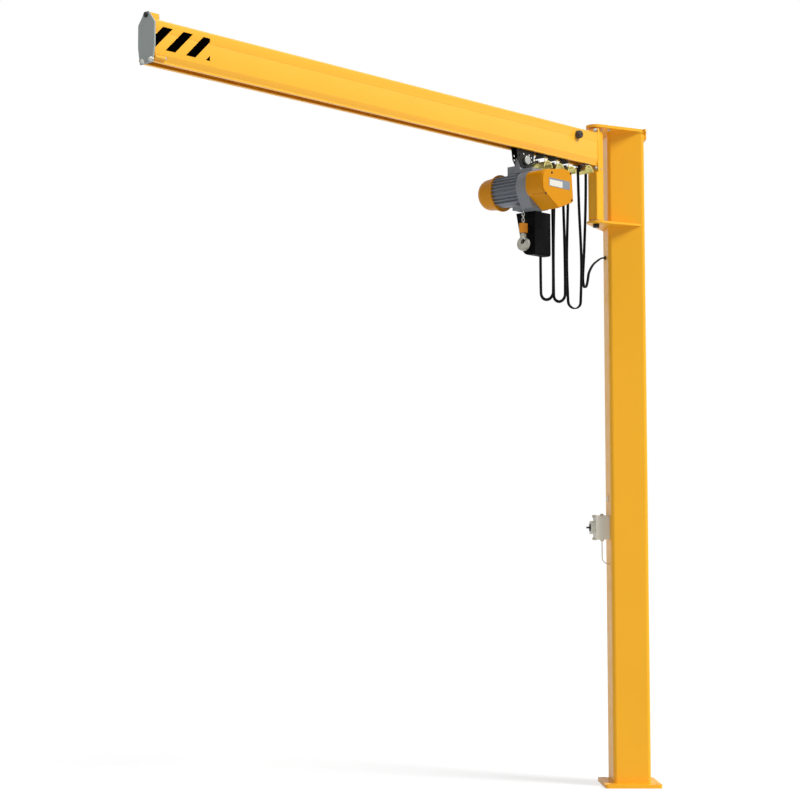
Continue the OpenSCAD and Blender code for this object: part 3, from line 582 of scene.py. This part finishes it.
# Each cable's route over the saddles, in metres.
LEAD = [
    (-0.728, 0.018, 3.269),
    (-0.748, 0.023, 3.264),
    (-0.763, 0.032, 3.250),
    (-0.785, 0.046, 3.227),
    (-0.806, 0.057, 3.209),
    (-0.819, 0.060, 3.205),
    (-0.835, 0.060, 3.205),
]
LOOP_A = [
    (-0.728, 0.018, 3.269),
    (-0.708, 0.020, 3.264),
    (-0.693, 0.024, 3.249),
    (-0.688, 0.028, 3.229),
    (-0.687, 0.032, 3.100),
    (-0.682, 0.038, 2.850),
    (-0.678, 0.040, 2.591),
    (-0.678, 0.035, 2.571),
    (-0.678, 0.020, 2.556),
    (-0.678, 0.000, 2.551),
    (-0.678, -0.020, 2.556),
    (-0.678, -0.035, 2.571),
    (-0.678, -0.040, 2.591),
    (-0.674, -0.038, 2.850),
    (-0.669, -0.032, 3.100),
    (-0.668, -0.030, 3.229),
    (-0.663, -0.024, 3.249),
    (-0.648, -0.014, 3.264),
    (-0.628, -0.008, 3.269),
]
LOOP_B = [
    (-0.628, -0.008, 3.269),
    (-0.608, -0.002, 3.264),
    (-0.593, 0.008, 3.249),
    (-0.588, 0.015, 3.229),
    (-0.587, 0.020, 3.080),
    (-0.578, 0.034, 2.820),
    (-0.574, 0.037, 2.587),
    (-0.574, 0.032, 2.568),
    (-0.574, 0.018, 2.555),
    (-0.574, 0.000, 2.550),
    (-0.574, -0.018, 2.555),
    (-0.574, -0.032, 2.568),
    (-0.574, -0.037, 2.587),
    (-0.571, -0.034, 2.820),
    (-0.567, -0.024, 3.080),
    (-0.568, -0.020, 3.229),
    (-0.563, -0.016, 3.249),
    (-0.548, -0.012, 3.264),
    (-0.528, -0.010, 3.269),
]
LOOP_C = [
    (-0.528, -0.010, 3.269),
    (-0.508, -0.008, 3.264),
    (-0.493, -0.004, 3.249),
    (-0.488, 0.000, 3.229),
    (-0.491, 0.004, 3.060),
    (-0.493, 0.012, 2.780),
    (-0.487, 0.011, 2.566),
    (-0.482, 0.010, 2.545),
    (-0.467, 0.005, 2.530),
    (-0.447, 0.000, 2.525),
    (-0.427, -0.005, 2.530),
    (-0.412, -0.010, 2.545),
    (-0.407, -0.011, 2.566),
    (-0.402, -0.014, 2.780),
    (-0.413, -0.010, 3.070),
    (-0.418, -0.009, 3.255),
    (-0.413, -0.008, 3.275),
    (-0.398, -0.006, 3.290),
    (-0.378, -0.004, 3.295),
]
SUPPLY = [
    (-0.378, -0.004, 3.295),
    (-0.358, -0.003, 3.290),
    (-0.343, -0.001, 3.275),
    (-0.338, 0.000, 3.255),
    (-0.343, 0.000, 3.070),
    (-0.350, 0.005, 2.860),
    (-0.356, 0.011, 2.700),
    (-0.349, 0.015, 2.670),
    (-0.328, 0.023, 2.651),
    (-0.303, 0.030, 2.658),
    (-0.286, 0.033, 2.690),
    (-0.268, 0.038, 2.734),
    (-0.201, 0.061, 2.787),
    (-0.123, 0.083, 2.824),
    (-0.092, 0.085, 2.838),
    (-0.078, 0.078, 2.841),
    (-0.074, 0.074, 2.841),
]

# Each cable's route, its bodies, the two points between which it bends, and whether its
# far end is round.
CABLES = {
    "loop_a": (
        LOOP_A,
        ("trolley", "carrier_b"),
        (-0.686, 0.004, 2.6),
        (-0.670, -0.004, 2.6),
        False,
    ),
    "loop_b": (
        LOOP_B,
        ("carrier_b", "carrier_c"),
        (-0.5815, 0.0037, 2.6),
        (-0.5665, -0.0037, 2.6),
        False,
    ),
    "loop_c": (LOOP_C, ("carrier_c", "jib"), (-0.463, 0, 2.6), (-0.431, 0, 2.6), False),
    "supply_cable": (SUPPLY, ("column", "jib"), (-0.25, 0, 2.75), (-0.25, 0, 3.2), True),
    "hoist_lead": (LEAD, ("trolley",), None, None, True),
}


def make_cable(node):
    """One cable swept along its route, riding its first body when it has no bend points."""
    route, bodies, start, end, round_end = CABLES[node]
    path = smooth_path([Vector(point) for point in route], PATH_STEPS)
    body = bodies[0] if start is None else None
    bm = swept_flat(path, round_end)
    piece = add_piece(node + "_cable", bm, "cable", body, 60)
    if start is not None:
        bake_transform(piece)
    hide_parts(node)


# ---- load chain ----


def chain_link(wire, centre, quarter):
    """One welded link standing upright about centre."""
    bend = wire * 1.2
    straight = sizes().link_pitch - 2 * (bend - wire / 2) + 0.0003
    points = []
    for side in (1, -1):
        for k in range(7):
            a = math.pi * (k / 6 if side > 0 else 1 + k / 6)
            points.append(
                Vector((bend * math.cos(a), 0, side * straight / 2 + bend * math.sin(a)))
            )
    turn = Matrix.Rotation(math.radians(45 if quarter else -45), 3, "Z")
    mesh = swept("link", [turn @ p + centre for p in points], wire / 2, 8, cyclic=True)
    bm = bmesh.new()
    bm.from_mesh(mesh)
    bpy.data.meshes.remove(mesh)
    return bm


def make_chain():
    """The whole fall: what the lowered hook needs waits, squeezed, in the gearbox's bore."""
    low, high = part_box("load_chain")
    pitch = sizes().link_pitch
    wire = sizes().link_wire
    drop = sizes().hook_drop
    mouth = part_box("hoist_gearbox")[0].z
    hidden = mouth + 0.014
    x = (low.x + high.x) / 2
    first = low.z + wire + 0.0075 - drop
    count = int((high.z - wire - 0.007 - first) / pitch) + 1
    whole = merged(
        [chain_link(wire, Vector((x, 0, first + k * pitch)), k % 2 == 0) for k in range(count)]
    )

    def lowered(z):
        t = min(max((hidden - z) / (hidden - mouth), 0), 1)
        return z - drop * t * t * (3 - 2 * t)

    for vert in whole.verts:
        target = vert.co.z
        if target <= mouth - drop:
            vert.co.z = target + drop
            continue
        under, over = mouth, hidden
        for _ in range(40):
            middle = (under + over) / 2
            if lowered(middle) < target:
                under = middle
            else:
                over = middle
        vert.co.z = (under + over) / 2
    piece = add_piece("load_chain_fall", whole, "zinc", None, 60)
    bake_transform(piece)
    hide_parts("load_chain")


# ---- trim ----

# Warning stripes: foot and head below the jib's top, the first one's place behind the tip,
# width and spacing along the jib, and where the last one is cut off.
STRIPE_FOOT = 0.124
STRIPE_HEAD = 0.027
STRIPE_FIRST = 0.042
STRIPE_WIDE = 0.052
STRIPE_PITCH = 0.111
STRIPE_LAST = 0.301
STRIPES = 4

# Sizes across the flats of the hexagon heads and nuts.
BOSS_NUT = 0.013
FLANGE_BOLT = 0.016
END_PLATE_BOLT = 0.018
TOP_PLATE_BOLT = 0.014
TROLLEY_NUT = 0.010
# Sharpest angle that is shaded smooth on a fastener.
FASTENER_ANGLE = 35
# The gear cover's screws, along x and z from its lower corner.
COVER_SCREWS = ((0.025, 0.060), (0.075, 0.172), (0.228, 0.188), (0.236, 0.052))

# The column's square and its rounded corners.
COLUMN_SIZE = 0.2
COLUMN_CORNER = 0.02

# Cable straps: thickness, reach of each foot, play round the cable, and width.
STRAP_T = 0.0012
STRAP_FOOT = 0.007
STRAP_PLAY = 0.0006
STRAP_WIDE = 0.012


def cut_off(bm, spot, normal):
    """Cuts away what lies beyond a plane, and closes the cut."""
    cut = bmesh.ops.bisect_plane(
        bm,
        geom=bm.verts[:] + bm.edges[:] + bm.faces[:],
        plane_co=spot,
        plane_no=normal,
        clear_outer=True,
    )
    edges = [e for e in cut["geom_cut"] if isinstance(e, bmesh.types.BMEdge)]
    if edges:
        bmesh.ops.holes_fill(bm, edges=edges)


def make_stripes():
    """Slanting warning stripes on both sides of the jib's tip."""
    low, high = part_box("jib_profile")
    foot = high.z - STRIPE_FOOT
    head = high.z - STRIPE_HEAD
    slant = head - foot
    for side in (-1, 1):
        inner = high.y * side
        outer = inner + side * sizes().decal_t
        parts = []
        for k in range(STRIPES):
            left = low.x + STRIPE_FIRST + k * STRIPE_PITCH
            right = left + STRIPE_WIDE
            corners = [(left, head), (right, head), (right - slant, foot), (left - slant, foot)]
            bm = prism(corners, "y", min(inner, outer), max(inner, outer))
            cut_off(bm, (low.x + 0.0005, 0, 0), (-1, 0, 0))
            cut_off(bm, (low.x + STRIPE_LAST, 0, 0), (1, 0, 0))
            parts.append(bm)
        name = "stripes_left" if side < 0 else "stripes_right"
        add_piece(name, merged(parts), "stripes", "jib")


def add_fasteners(name, parts, finish, body):
    """A group of bolts or screws as one piece."""
    add_piece(name, merged(parts), finish, body, FASTENER_ANGLE)


def make_jib_bolts():
    """Fasteners of the end plate, its bosses, the fixing plate and the slew post."""
    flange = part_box("jib_flange")
    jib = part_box("jib_profile")
    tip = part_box("tip_plate")
    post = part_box("slew_post")
    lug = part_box("tip_bosses")
    top = lug[1].z - 0.012
    head = disc((tip[0].x, 0, top), (-1, 0, 0), 0.0115, 0.008, 28, 0.0025)
    add_piece("tip_bolt", head, "dark_steel", "jib", FASTENER_ANGLE)
    bolts = [round_head((lug[1].x, 0, top), (1, 0, 0), 0.007, 0.007, 24)]
    for side in (-1, 1):
        spot = (lug[1].x, side * (lug[1].y - 0.008), lug[0].z + 0.008)
        bolts.append(hex_bolt(spot, (1, 0, 0), BOSS_NUT, False))
    for y in (-0.036, 0.036):
        for z in (flange[1].z - 0.013, jib[0].z - 0.012):
            bolts.append(hex_bolt((flange[0].x, y, z), (-1, 0, 0), FLANGE_BOLT))
    for y in (-0.039, 0.013):
        bolts.append(hex_bolt((tip[0].x, y, jib[0].z + 0.007), (-1, 0, 0), END_PLATE_BOLT))
    for side in (-1, 1):
        for z in (post[1].z - 0.008, flange[0].z + 0.023):
            spot = (-0.240, side * post[1].y, z)
            bolts.append(round_head(spot, (0, side, 0), 0.005, sides=24))
    add_fasteners("jib_bolts", bolts, "zinc", "jib")


def make_top_plate_bolts():
    """Bolts through the top plate, with a washer on top."""
    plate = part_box("top_plate")
    bolts = []
    for y in (-0.040, 0.040):
        bolts.append(hex_bolt((-0.183, y, plate[0].z), (0, 0, -1), TOP_PLATE_BOLT, False))
        bolts.append(hex_bolt((-0.183, y, plate[1].z), (0, 0, 1), TOP_PLATE_BOLT))
    add_fasteners("top_plate_bolts", bolts, "zinc", "column")


def make_cover_screws():
    """Screws in the gear cover's front."""
    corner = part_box("gear_cover")[0]
    screws = [
        round_head((corner.x + x, corner.y, corner.z + z), (0, -1, 0), 0.0055)
        for x, z in COVER_SCREWS
    ]
    add_fasteners("cover_screws", screws, "dark_steel", "trolley")


def make_trolley_bolts():
    """Nuts on both side plates of the trolley, below its wheels."""
    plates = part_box("trolley_frame")
    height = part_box("trolley_wheels")[0].z - 0.028
    centre = (plates[0].x + plates[1].x) / 2
    nuts = []
    for side in (-1, 1):
        for dx in (-0.022, 0.022):
            spot = (centre + dx, side * plates[1].y, height)
            nuts.append(hex_bolt(spot, (0, side, 0), TROLLEY_NUT, False))
    add_fasteners("trolley_bolts", nuts, "zinc", "trolley")


def make_brake_cover():
    """The motor's brake cover: a flange, a neck and a domed end, turned about its axis."""
    low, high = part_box("brake_cover")
    centre = ((low.x + high.x) / 2, low.y, (low.z + high.z) / 2)
    rim = (high.x - low.x) / 2
    depth = high.y - low.y
    flat_end = 0.041
    dome_r = 0.040
    dome_depth = 0.051
    outline = [(0, 0), (rim, 0), (rim, 0.010), (rim - 0.007, 0.014)]
    for k in range(9):
        turn = math.pi / 2 * k / 8
        r = flat_end + dome_r * math.cos(turn)
        outline.append((r, depth - dome_depth + dome_depth * math.sin(turn)))
    outline.append((0, depth))
    bm = bmesh.new()
    verts = [bm.verts.new((centre[0] + r, centre[1] + y, centre[2])) for r, y in outline]
    edges = [bm.edges.new(pair) for pair in zip(verts, verts[1:])]
    bmesh.ops.spin(
        bm,
        geom=verts + edges,
        cent=centre,
        axis=(0, 1, 0),
        angle=math.tau,
        steps=64,
        use_merge=True,
    )
    bmesh.ops.remove_doubles(bm, verts=bm.verts, dist=1e-5)
    bmesh.ops.recalc_face_normals(bm, faces=bm.faces)
    piece = add_piece("brake_cover_finish", bm, "hoist", "trolley", 25)
    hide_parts("brake_cover")
    soften(piece, 0.0015)


def make_plate():
    """A bare dark plate with a pale field, on the gear cover's front."""
    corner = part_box("gear_cover")[0]
    x = corner.x + 0.052
    z = corner.z + 0.102
    back = corner.y
    front = back - 0.001
    plate = prism(oblong(x, z, 0.168, 0.043), "y", front, back)
    field = prism(oblong(x + 0.003, z + 0.003, 0.105, 0.031), "y", front - 0.0004, front)
    add_piece("cover_plate", plate, "motor", "trolley")
    add_piece("cover_plate_field", field, "switch", "trolley")


def weld_ring(name, points, body, cyclic=True):
    """A weld bead along points."""
    mesh = swept(name, [Vector(p) for p in points], sizes().weld_r, 8, cyclic)
    add_piece(name, mesh, "steelwork", body, 60)


def column_outline(grown, z):
    """The column's rounded square, a little grown and turned with the column."""
    points = []
    half = (COLUMN_SIZE + grown) / 2 - COLUMN_CORNER
    for quarter in range(4):
        turn = Matrix.Rotation(math.radians(90 * quarter + 45), 3, "Z")
        for k in range(7):
            a = math.radians(90 * k / 6)
            rounding = Vector((COLUMN_CORNER * math.cos(a), COLUMN_CORNER * math.sin(a), 0))
            spot = turn @ (Vector((half, half, 0)) + rounding)
            points.append((spot.x, spot.y, z))
    return points


def make_welds():
    """Weld beads at the column's foot and head and where the jib meets its plate."""
    inset = sizes().weld_r * 0.3
    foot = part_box("base_plate")[1].z + inset
    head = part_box("top_plate")[0].z - inset
    weld_ring("foot_weld", column_outline(inset, foot), "column")
    weld_ring("head_weld", column_outline(inset, head), "column")
    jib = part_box("jib_profile")
    x = jib[1].x - inset
    half = jib[1].y
    low, high = jib[0].z, jib[1].z
    side = [
        (half - 0.010, low),
        (half - 0.010, low + 0.007),
        (half, low + 0.032),
        (half, high - 0.008),
        (half - 0.008, high),
    ]
    section = [(x, -y, z) for y, z in side] + [(x, y, z) for y, z in reversed(side)]
    weld_ring("jib_weld", section, "jib", False)


def make_straps():
    """A bent strap over the cable on every saddle's crown."""
    held = (("trolley", LOOP_A[0]), ("carrier_b", LOOP_B[0]), ("carrier_c", LOOP_C[0]))
    wide = sizes().cable_w / 2 + STRAP_PLAY
    for body, crown in (*held, ("jib", SUPPLY[0])):
        x, y, z = crown
        seat = z - sizes().cable_d / 2
        top = z + sizes().cable_t / 2 + STRAP_PLAY + STRAP_T
        under = [(wide + STRAP_FOOT, seat), (wide, seat), (wide, top - STRAP_T)]
        over = [
            (wide + STRAP_FOOT, seat + STRAP_T),
            (wide + STRAP_T, seat + STRAP_T),
            (wide + STRAP_T, top),
        ]
        arch = [(y - u, v) for u, v in under] + [(y + u, v) for u, v in reversed(under)]
        arch += [(y + u, v) for u, v in over] + [(y - u, v) for u, v in reversed(over)]
        strap = prism(arch, "x", x - STRAP_WIDE / 2, x + STRAP_WIDE / 2)
        add_piece(f"strap_{body}", strap, "zinc", body)


def make_switch_trim():
    """Lid screws and pale lugs of the isolator switch, and its plug's screw."""
    low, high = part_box("switch_plate")
    out = Vector((-1, 1, 0)).normalized()
    along = Vector((1, 1, 0)).normalized()
    lid = (low + high) / 2 - out * 0.0115
    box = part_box("switch_box")
    centre = (box[0].z + box[1].z) / 2
    half_h = (box[1].z - box[0].z) / 2
    screws = []
    lugs = []
    for s in (-1, 1):
        for t in (-1, 1):
            spot = Vector((lid.x, lid.y, centre + t * (half_h - 0.011)))
            screws.append(round_head(spot + along * s * 0.045, out, 0.005))
            ear = Vector((spot.x, spot.y, spot.z + t * 0.004)) + along * s * 0.030
            lugs.append(disc(ear, out, 0.006, 0.008, 24, 0.002))
    add_fasteners("lid_screws", screws, "zinc", "column")
    add_fasteners("lid_lugs", lugs, "wire", "column")
    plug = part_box("wall_plug")
    face = Vector(((plug[0].x + plug[1].x) / 2, (plug[0].y + plug[1].y) / 2, 0)) - out * 0.003
    dot = round_head((face.x, face.y, plug[1].z + 0.008), out, 0.005)
    add_piece("plug_screw", dot, "wire", "column", FASTENER_ANGLE)


# ---- finishes ----

# CAD nodes that get softened edges: finish, slot, bevel width.
SKINS = {
    "base_plate": ("steelwork", "yellow_paint", 0.0015),
    "top_plate": ("steelwork", "yellow_paint", 0.0015),
    "lower_plate": ("steelwork", "yellow_paint", 0.0015),
    "top_strap": ("steelwork", "yellow_paint", 0.0015),
    "jib_flange": ("track", "yellow_paint", 0.0015),
    "jib_profile": ("track", "yellow_paint", 0.001),
    "tip_bosses": ("track", "yellow_paint", 0.001),
    "tip_plate": ("end_plate", "end_plate_grey", 0.0012),
    "gear_cover": ("hoist", "hoist_yellow", 0.003),
    "hoist_gearbox": ("gearbox", "gearbox_grey", 0.002),
    "chain_container": ("bin", "black_plastic", 0.0012),
    "suspension_lugs": ("gearbox", "gearbox_grey", 0.002),
    "terminal_box": ("motor", "motor_grey", 0.002),
    "hook_sleeve": ("sleeve", "hoist_yellow", 0.002),
    "load_hook": ("hook", "zinc_steel", 0.0035),
    "switch_box": ("switch", "switch_grey", 0.0015),
    "switch_plate": ("switch", "switch_grey", 0.002),
    "switch_knob": ("knob", "black_plastic", 0.0015),
    "trolley_frame": ("dark_steel", "dark_steel", 0.0006),
    "trolley_wheels": ("zinc", "zinc_steel", 0.0012),
    "load_bar": ("zinc", "zinc_steel", 0.002),
    "end_clamp": ("carrier", "dark_steel", 0.0008),
}
# CAD nodes that keep their own mesh and only get a finish.
FINISHES = {
    "column_tube": "steelwork",
    "slew_post": "steelwork",
    "thrust_washer": "zinc",
    "upper_pin": "steelwork",
    "lower_pin": "dark_steel",
    "cable_grommet": "rubber",
    "switch_glands": "switch",
    "wall_plug": "switch",
    "switch_wire": "wire",
    "buffer_left": "buffer",
    "buffer_right": "buffer",
    "end_saddle": "saddle",
    "tow_saddle": "saddle",
    "saddle_b": "saddle",
    "saddle_c": "saddle",
    "tow_carrier": "carrier",
    "carrier_b": "carrier",
    "carrier_c": "carrier",
    "motor_housing": "motor",
    "hook_latch": "zinc",
}


def finish_nodes():
    """Softened copies of the CAD nodes, and finishes on the rest."""
    for node, (finish, slot, width) in SKINS.items():
        skin(node, finish, width)
    for node, finish in FINISHES.items():
        mesh = frame["nodes"][node].data
        mesh.materials.clear()
        mesh.materials.append(MATERIALS[finish])


# ---- stage ----

# How bright the floor is where it shows: its lit coat and its glow; and what it throws back
# on the crane.
FLOOR_LIT = 0.36
FLOOR_GLOW = 0.72
FLOOR_PLAIN = 0.8
# The world's strength for lighting; where it shows it is plain white.
WORLD_LIGHT = 0.2
# Each lamp's name, the direction it stands in, its strength, and its spread in degrees.
LAMPS = (
    ("key", (0.24, -0.70, 0.67), 3.3, 22),
    ("fill", (-0.85, -0.05, 0.45), 0.38, 40),
)


def make_camera():
    """The camera, low and far off, looking up a little."""
    data = bpy.data.cameras.new("camera")
    data.lens = 80.87
    data.sensor_width = 36
    data.shift_x = 0.0865
    data.shift_y = 0.0125
    data.clip_end = 200
    camera = bpy.data.objects.new("camera", data)
    camera.location = (-8.0115, -5.7488, 1.37)
    camera.rotation_euler = (math.radians(90 + 3.76), 0, math.radians(-45))
    bpy.context.scene.collection.objects.link(camera)
    bpy.context.scene.camera = camera


def seen_ray(tree):
    """1 for what the camera and reflections see, 0 for what lights the crane."""
    path = add_node(tree, "ShaderNodeLightPath").outputs
    return combine(tree, "MAXIMUM", path["Is Camera Ray"], path["Is Glossy Ray"])


def grey(value):
    """A grey of one value, opaque."""
    return (value, value, value, 1)


def floor_material():
    """White to the camera and in reflections, with a soft shadow kept."""
    material = bpy.data.materials.new("floor")
    material.use_nodes = True
    tree = material.node_tree
    tree.nodes.clear()
    matt = add_node(tree, "ShaderNodeBsdfDiffuse", in_0=grey(FLOOR_PLAIN)).outputs[0]
    shade = add_node(tree, "ShaderNodeBsdfDiffuse", in_0=grey(FLOOR_LIT)).outputs[0]
    glow = add_node(tree, "ShaderNodeEmission", in_0=grey(1), in_1=FLOOR_GLOW).outputs[0]
    white = add_node(tree, "ShaderNodeAddShader", [(0, shade), (1, glow)]).outputs[0]
    mix = add_node(tree, "ShaderNodeMixShader", [(0, seen_ray(tree)), (1, matt), (2, white)])
    add_node(tree, "ShaderNodeOutputMaterial", [(0, mix.outputs[0])])
    return material


def make_floor():
    """A wide pale floor."""
    bm = bmesh.new()
    bmesh.ops.create_grid(bm, x_segments=1, y_segments=1, size=60)
    mesh = bpy.data.meshes.new("floor")
    bm.to_mesh(mesh)
    bm.free()
    mesh.materials.append(floor_material())
    floor = bpy.data.objects.new("floor", mesh)
    bpy.context.scene.collection.objects.link(floor)


def make_world():
    """A world that is white where it shows and weak as a light."""
    world = bpy.data.worlds.new("studio")
    bpy.context.scene.world = world
    world.use_nodes = True
    tree = world.node_tree
    tree.nodes.clear()
    strength = remap(tree, seen_ray(tree), 0.0, 1.0, WORLD_LIGHT, 1.0)
    back = add_node(tree, "ShaderNodeBackground", [(1, strength)], in_0=grey(1))
    add_node(tree, "ShaderNodeOutputWorld", [(0, back.outputs[0])])


def make_light():
    """A soft key from the jib's near side, a weak fill, and a white world."""
    for name, direction, energy, spread in LAMPS:
        data = bpy.data.lights.new(name, "SUN")
        data.energy = energy
        data.angle = math.radians(spread)
        lamp = bpy.data.objects.new(name, data)
        lamp.rotation_euler = Vector(direction).to_track_quat("Z", "Y").to_euler()
        bpy.context.scene.collection.objects.link(lamp)
    make_world()
    bpy.context.scene.view_settings.view_transform = "Standard"


# ---- operators ----


class CRANE_OT_finishes(bpy.types.Operator):
    """Build the materials and give every CAD node its finish"""

    bl_idname = "crane.finishes"
    bl_label = "Finishes"

    def execute(self, context):
        MATERIALS.update(build_materials())
        finish_nodes()
        return {"FINISHED"}


class CRANE_OT_cables(bpy.types.Operator):
    """Place the camera and sweep the festoon cables"""

    bl_idname = "crane.cables"
    bl_label = "Cables"

    def execute(self, context):
        make_camera()
        for node in CABLES:
            make_cable(node)
        return {"FINISHED"}


class CRANE_OT_chain(bpy.types.Operator):
    """Hang the load chain"""

    bl_idname = "crane.chain"
    bl_label = "Load chain"

    def execute(self, context):
        make_chain()
        return {"FINISHED"}


class CRANE_OT_stripes(bpy.types.Operator):
    """Lay the warning stripes on the jib's tip"""

    bl_idname = "crane.stripes"
    bl_label = "Warning stripes"

    def execute(self, context):
        make_stripes()
        return {"FINISHED"}


class CRANE_OT_fasteners(bpy.types.Operator):
    """Add the bolts and screws"""

    bl_idname = "crane.fasteners"
    bl_label = "Fasteners"

    def execute(self, context):
        make_jib_bolts()
        make_top_plate_bolts()
        make_cover_screws()
        make_trolley_bolts()
        return {"FINISHED"}


class CRANE_OT_brake_cover(bpy.types.Operator):
    """Turn the motor's brake cover"""

    bl_idname = "crane.brake_cover"
    bl_label = "Brake cover"

    def execute(self, context):
        make_brake_cover()
        return {"FINISHED"}


class CRANE_OT_plate(bpy.types.Operator):
    """Lay the bare plate on the gear cover"""

    bl_idname = "crane.plate"
    bl_label = "Plate"

    def execute(self, context):
        make_plate()
        return {"FINISHED"}


class CRANE_OT_welds(bpy.types.Operator):
    """Run the weld beads"""

    bl_idname = "crane.welds"
    bl_label = "Welds"

    def execute(self, context):
        make_welds()
        return {"FINISHED"}


class CRANE_OT_straps(bpy.types.Operator):
    """Bend the straps over the cable"""

    bl_idname = "crane.straps"
    bl_label = "Straps"

    def execute(self, context):
        make_straps()
        return {"FINISHED"}


class CRANE_OT_switch_trim(bpy.types.Operator):
    """Add the isolator switch's screws and lugs"""

    bl_idname = "crane.switch_trim"
    bl_label = "Switch trim"

    def execute(self, context):
        make_switch_trim()
        return {"FINISHED"}


class CRANE_OT_stage(bpy.types.Operator):
    """Lay the floor and set the light"""

    bl_idname = "crane.stage"
    bl_label = "Stage"

    def execute(self, context):
        make_floor()
        make_light()
        return {"FINISHED"}


class CRANE_PT_panel(bpy.types.Panel):
    """Sidebar panel with the crane's steps and settings"""

    bl_idname = "CRANE_PT_panel"
    bl_label = "Jib crane"
    bl_space_type = "VIEW_3D"
    bl_region_type = "UI"
    bl_category = "Crane"

    def draw(self, context):
        for operator in OPERATORS:
            self.layout.operator(operator.bl_idname)
        for group in (context.scene.crane_paint, context.scene.crane_sizes):
            for key in group.bl_rna.properties.keys():
                if key not in ("rna_type", "name"):
                    self.layout.prop(group, key)


OPERATORS = (
    CRANE_OT_finishes,
    CRANE_OT_cables,
    CRANE_OT_chain,
    CRANE_OT_stripes,
    CRANE_OT_fasteners,
    CRANE_OT_brake_cover,
    CRANE_OT_plate,
    CRANE_OT_welds,
    CRANE_OT_straps,
    CRANE_OT_switch_trim,
    CRANE_OT_stage,
)
CLASSES = (CranePaint, CraneSizes, *OPERATORS, CRANE_PT_panel)


def register():
    for cls in CLASSES:
        bpy.utils.register_class(cls)
    bpy.types.Scene.crane_paint = bpy.props.PointerProperty(type=CranePaint)
    bpy.types.Scene.crane_sizes = bpy.props.PointerProperty(type=CraneSizes)


def unregister():
    del bpy.types.Scene.crane_sizes
    del bpy.types.Scene.crane_paint
    for cls in reversed(CLASSES):
        bpy.utils.unregister_class(cls)


def main():
    register()
    bpy.ops.crane.finishes()
    bpy.ops.crane.cables()
    bpy.ops.crane.chain()
    bpy.ops.crane.stripes()
    bpy.ops.crane.fasteners()
    bpy.ops.crane.brake_cover()
    bpy.ops.crane.plate()
    bpy.ops.crane.welds()
    bpy.ops.crane.straps()
    bpy.ops.crane.switch_trim()
    bpy.ops.crane.stage()


if __name__ == "__main__":
    main()
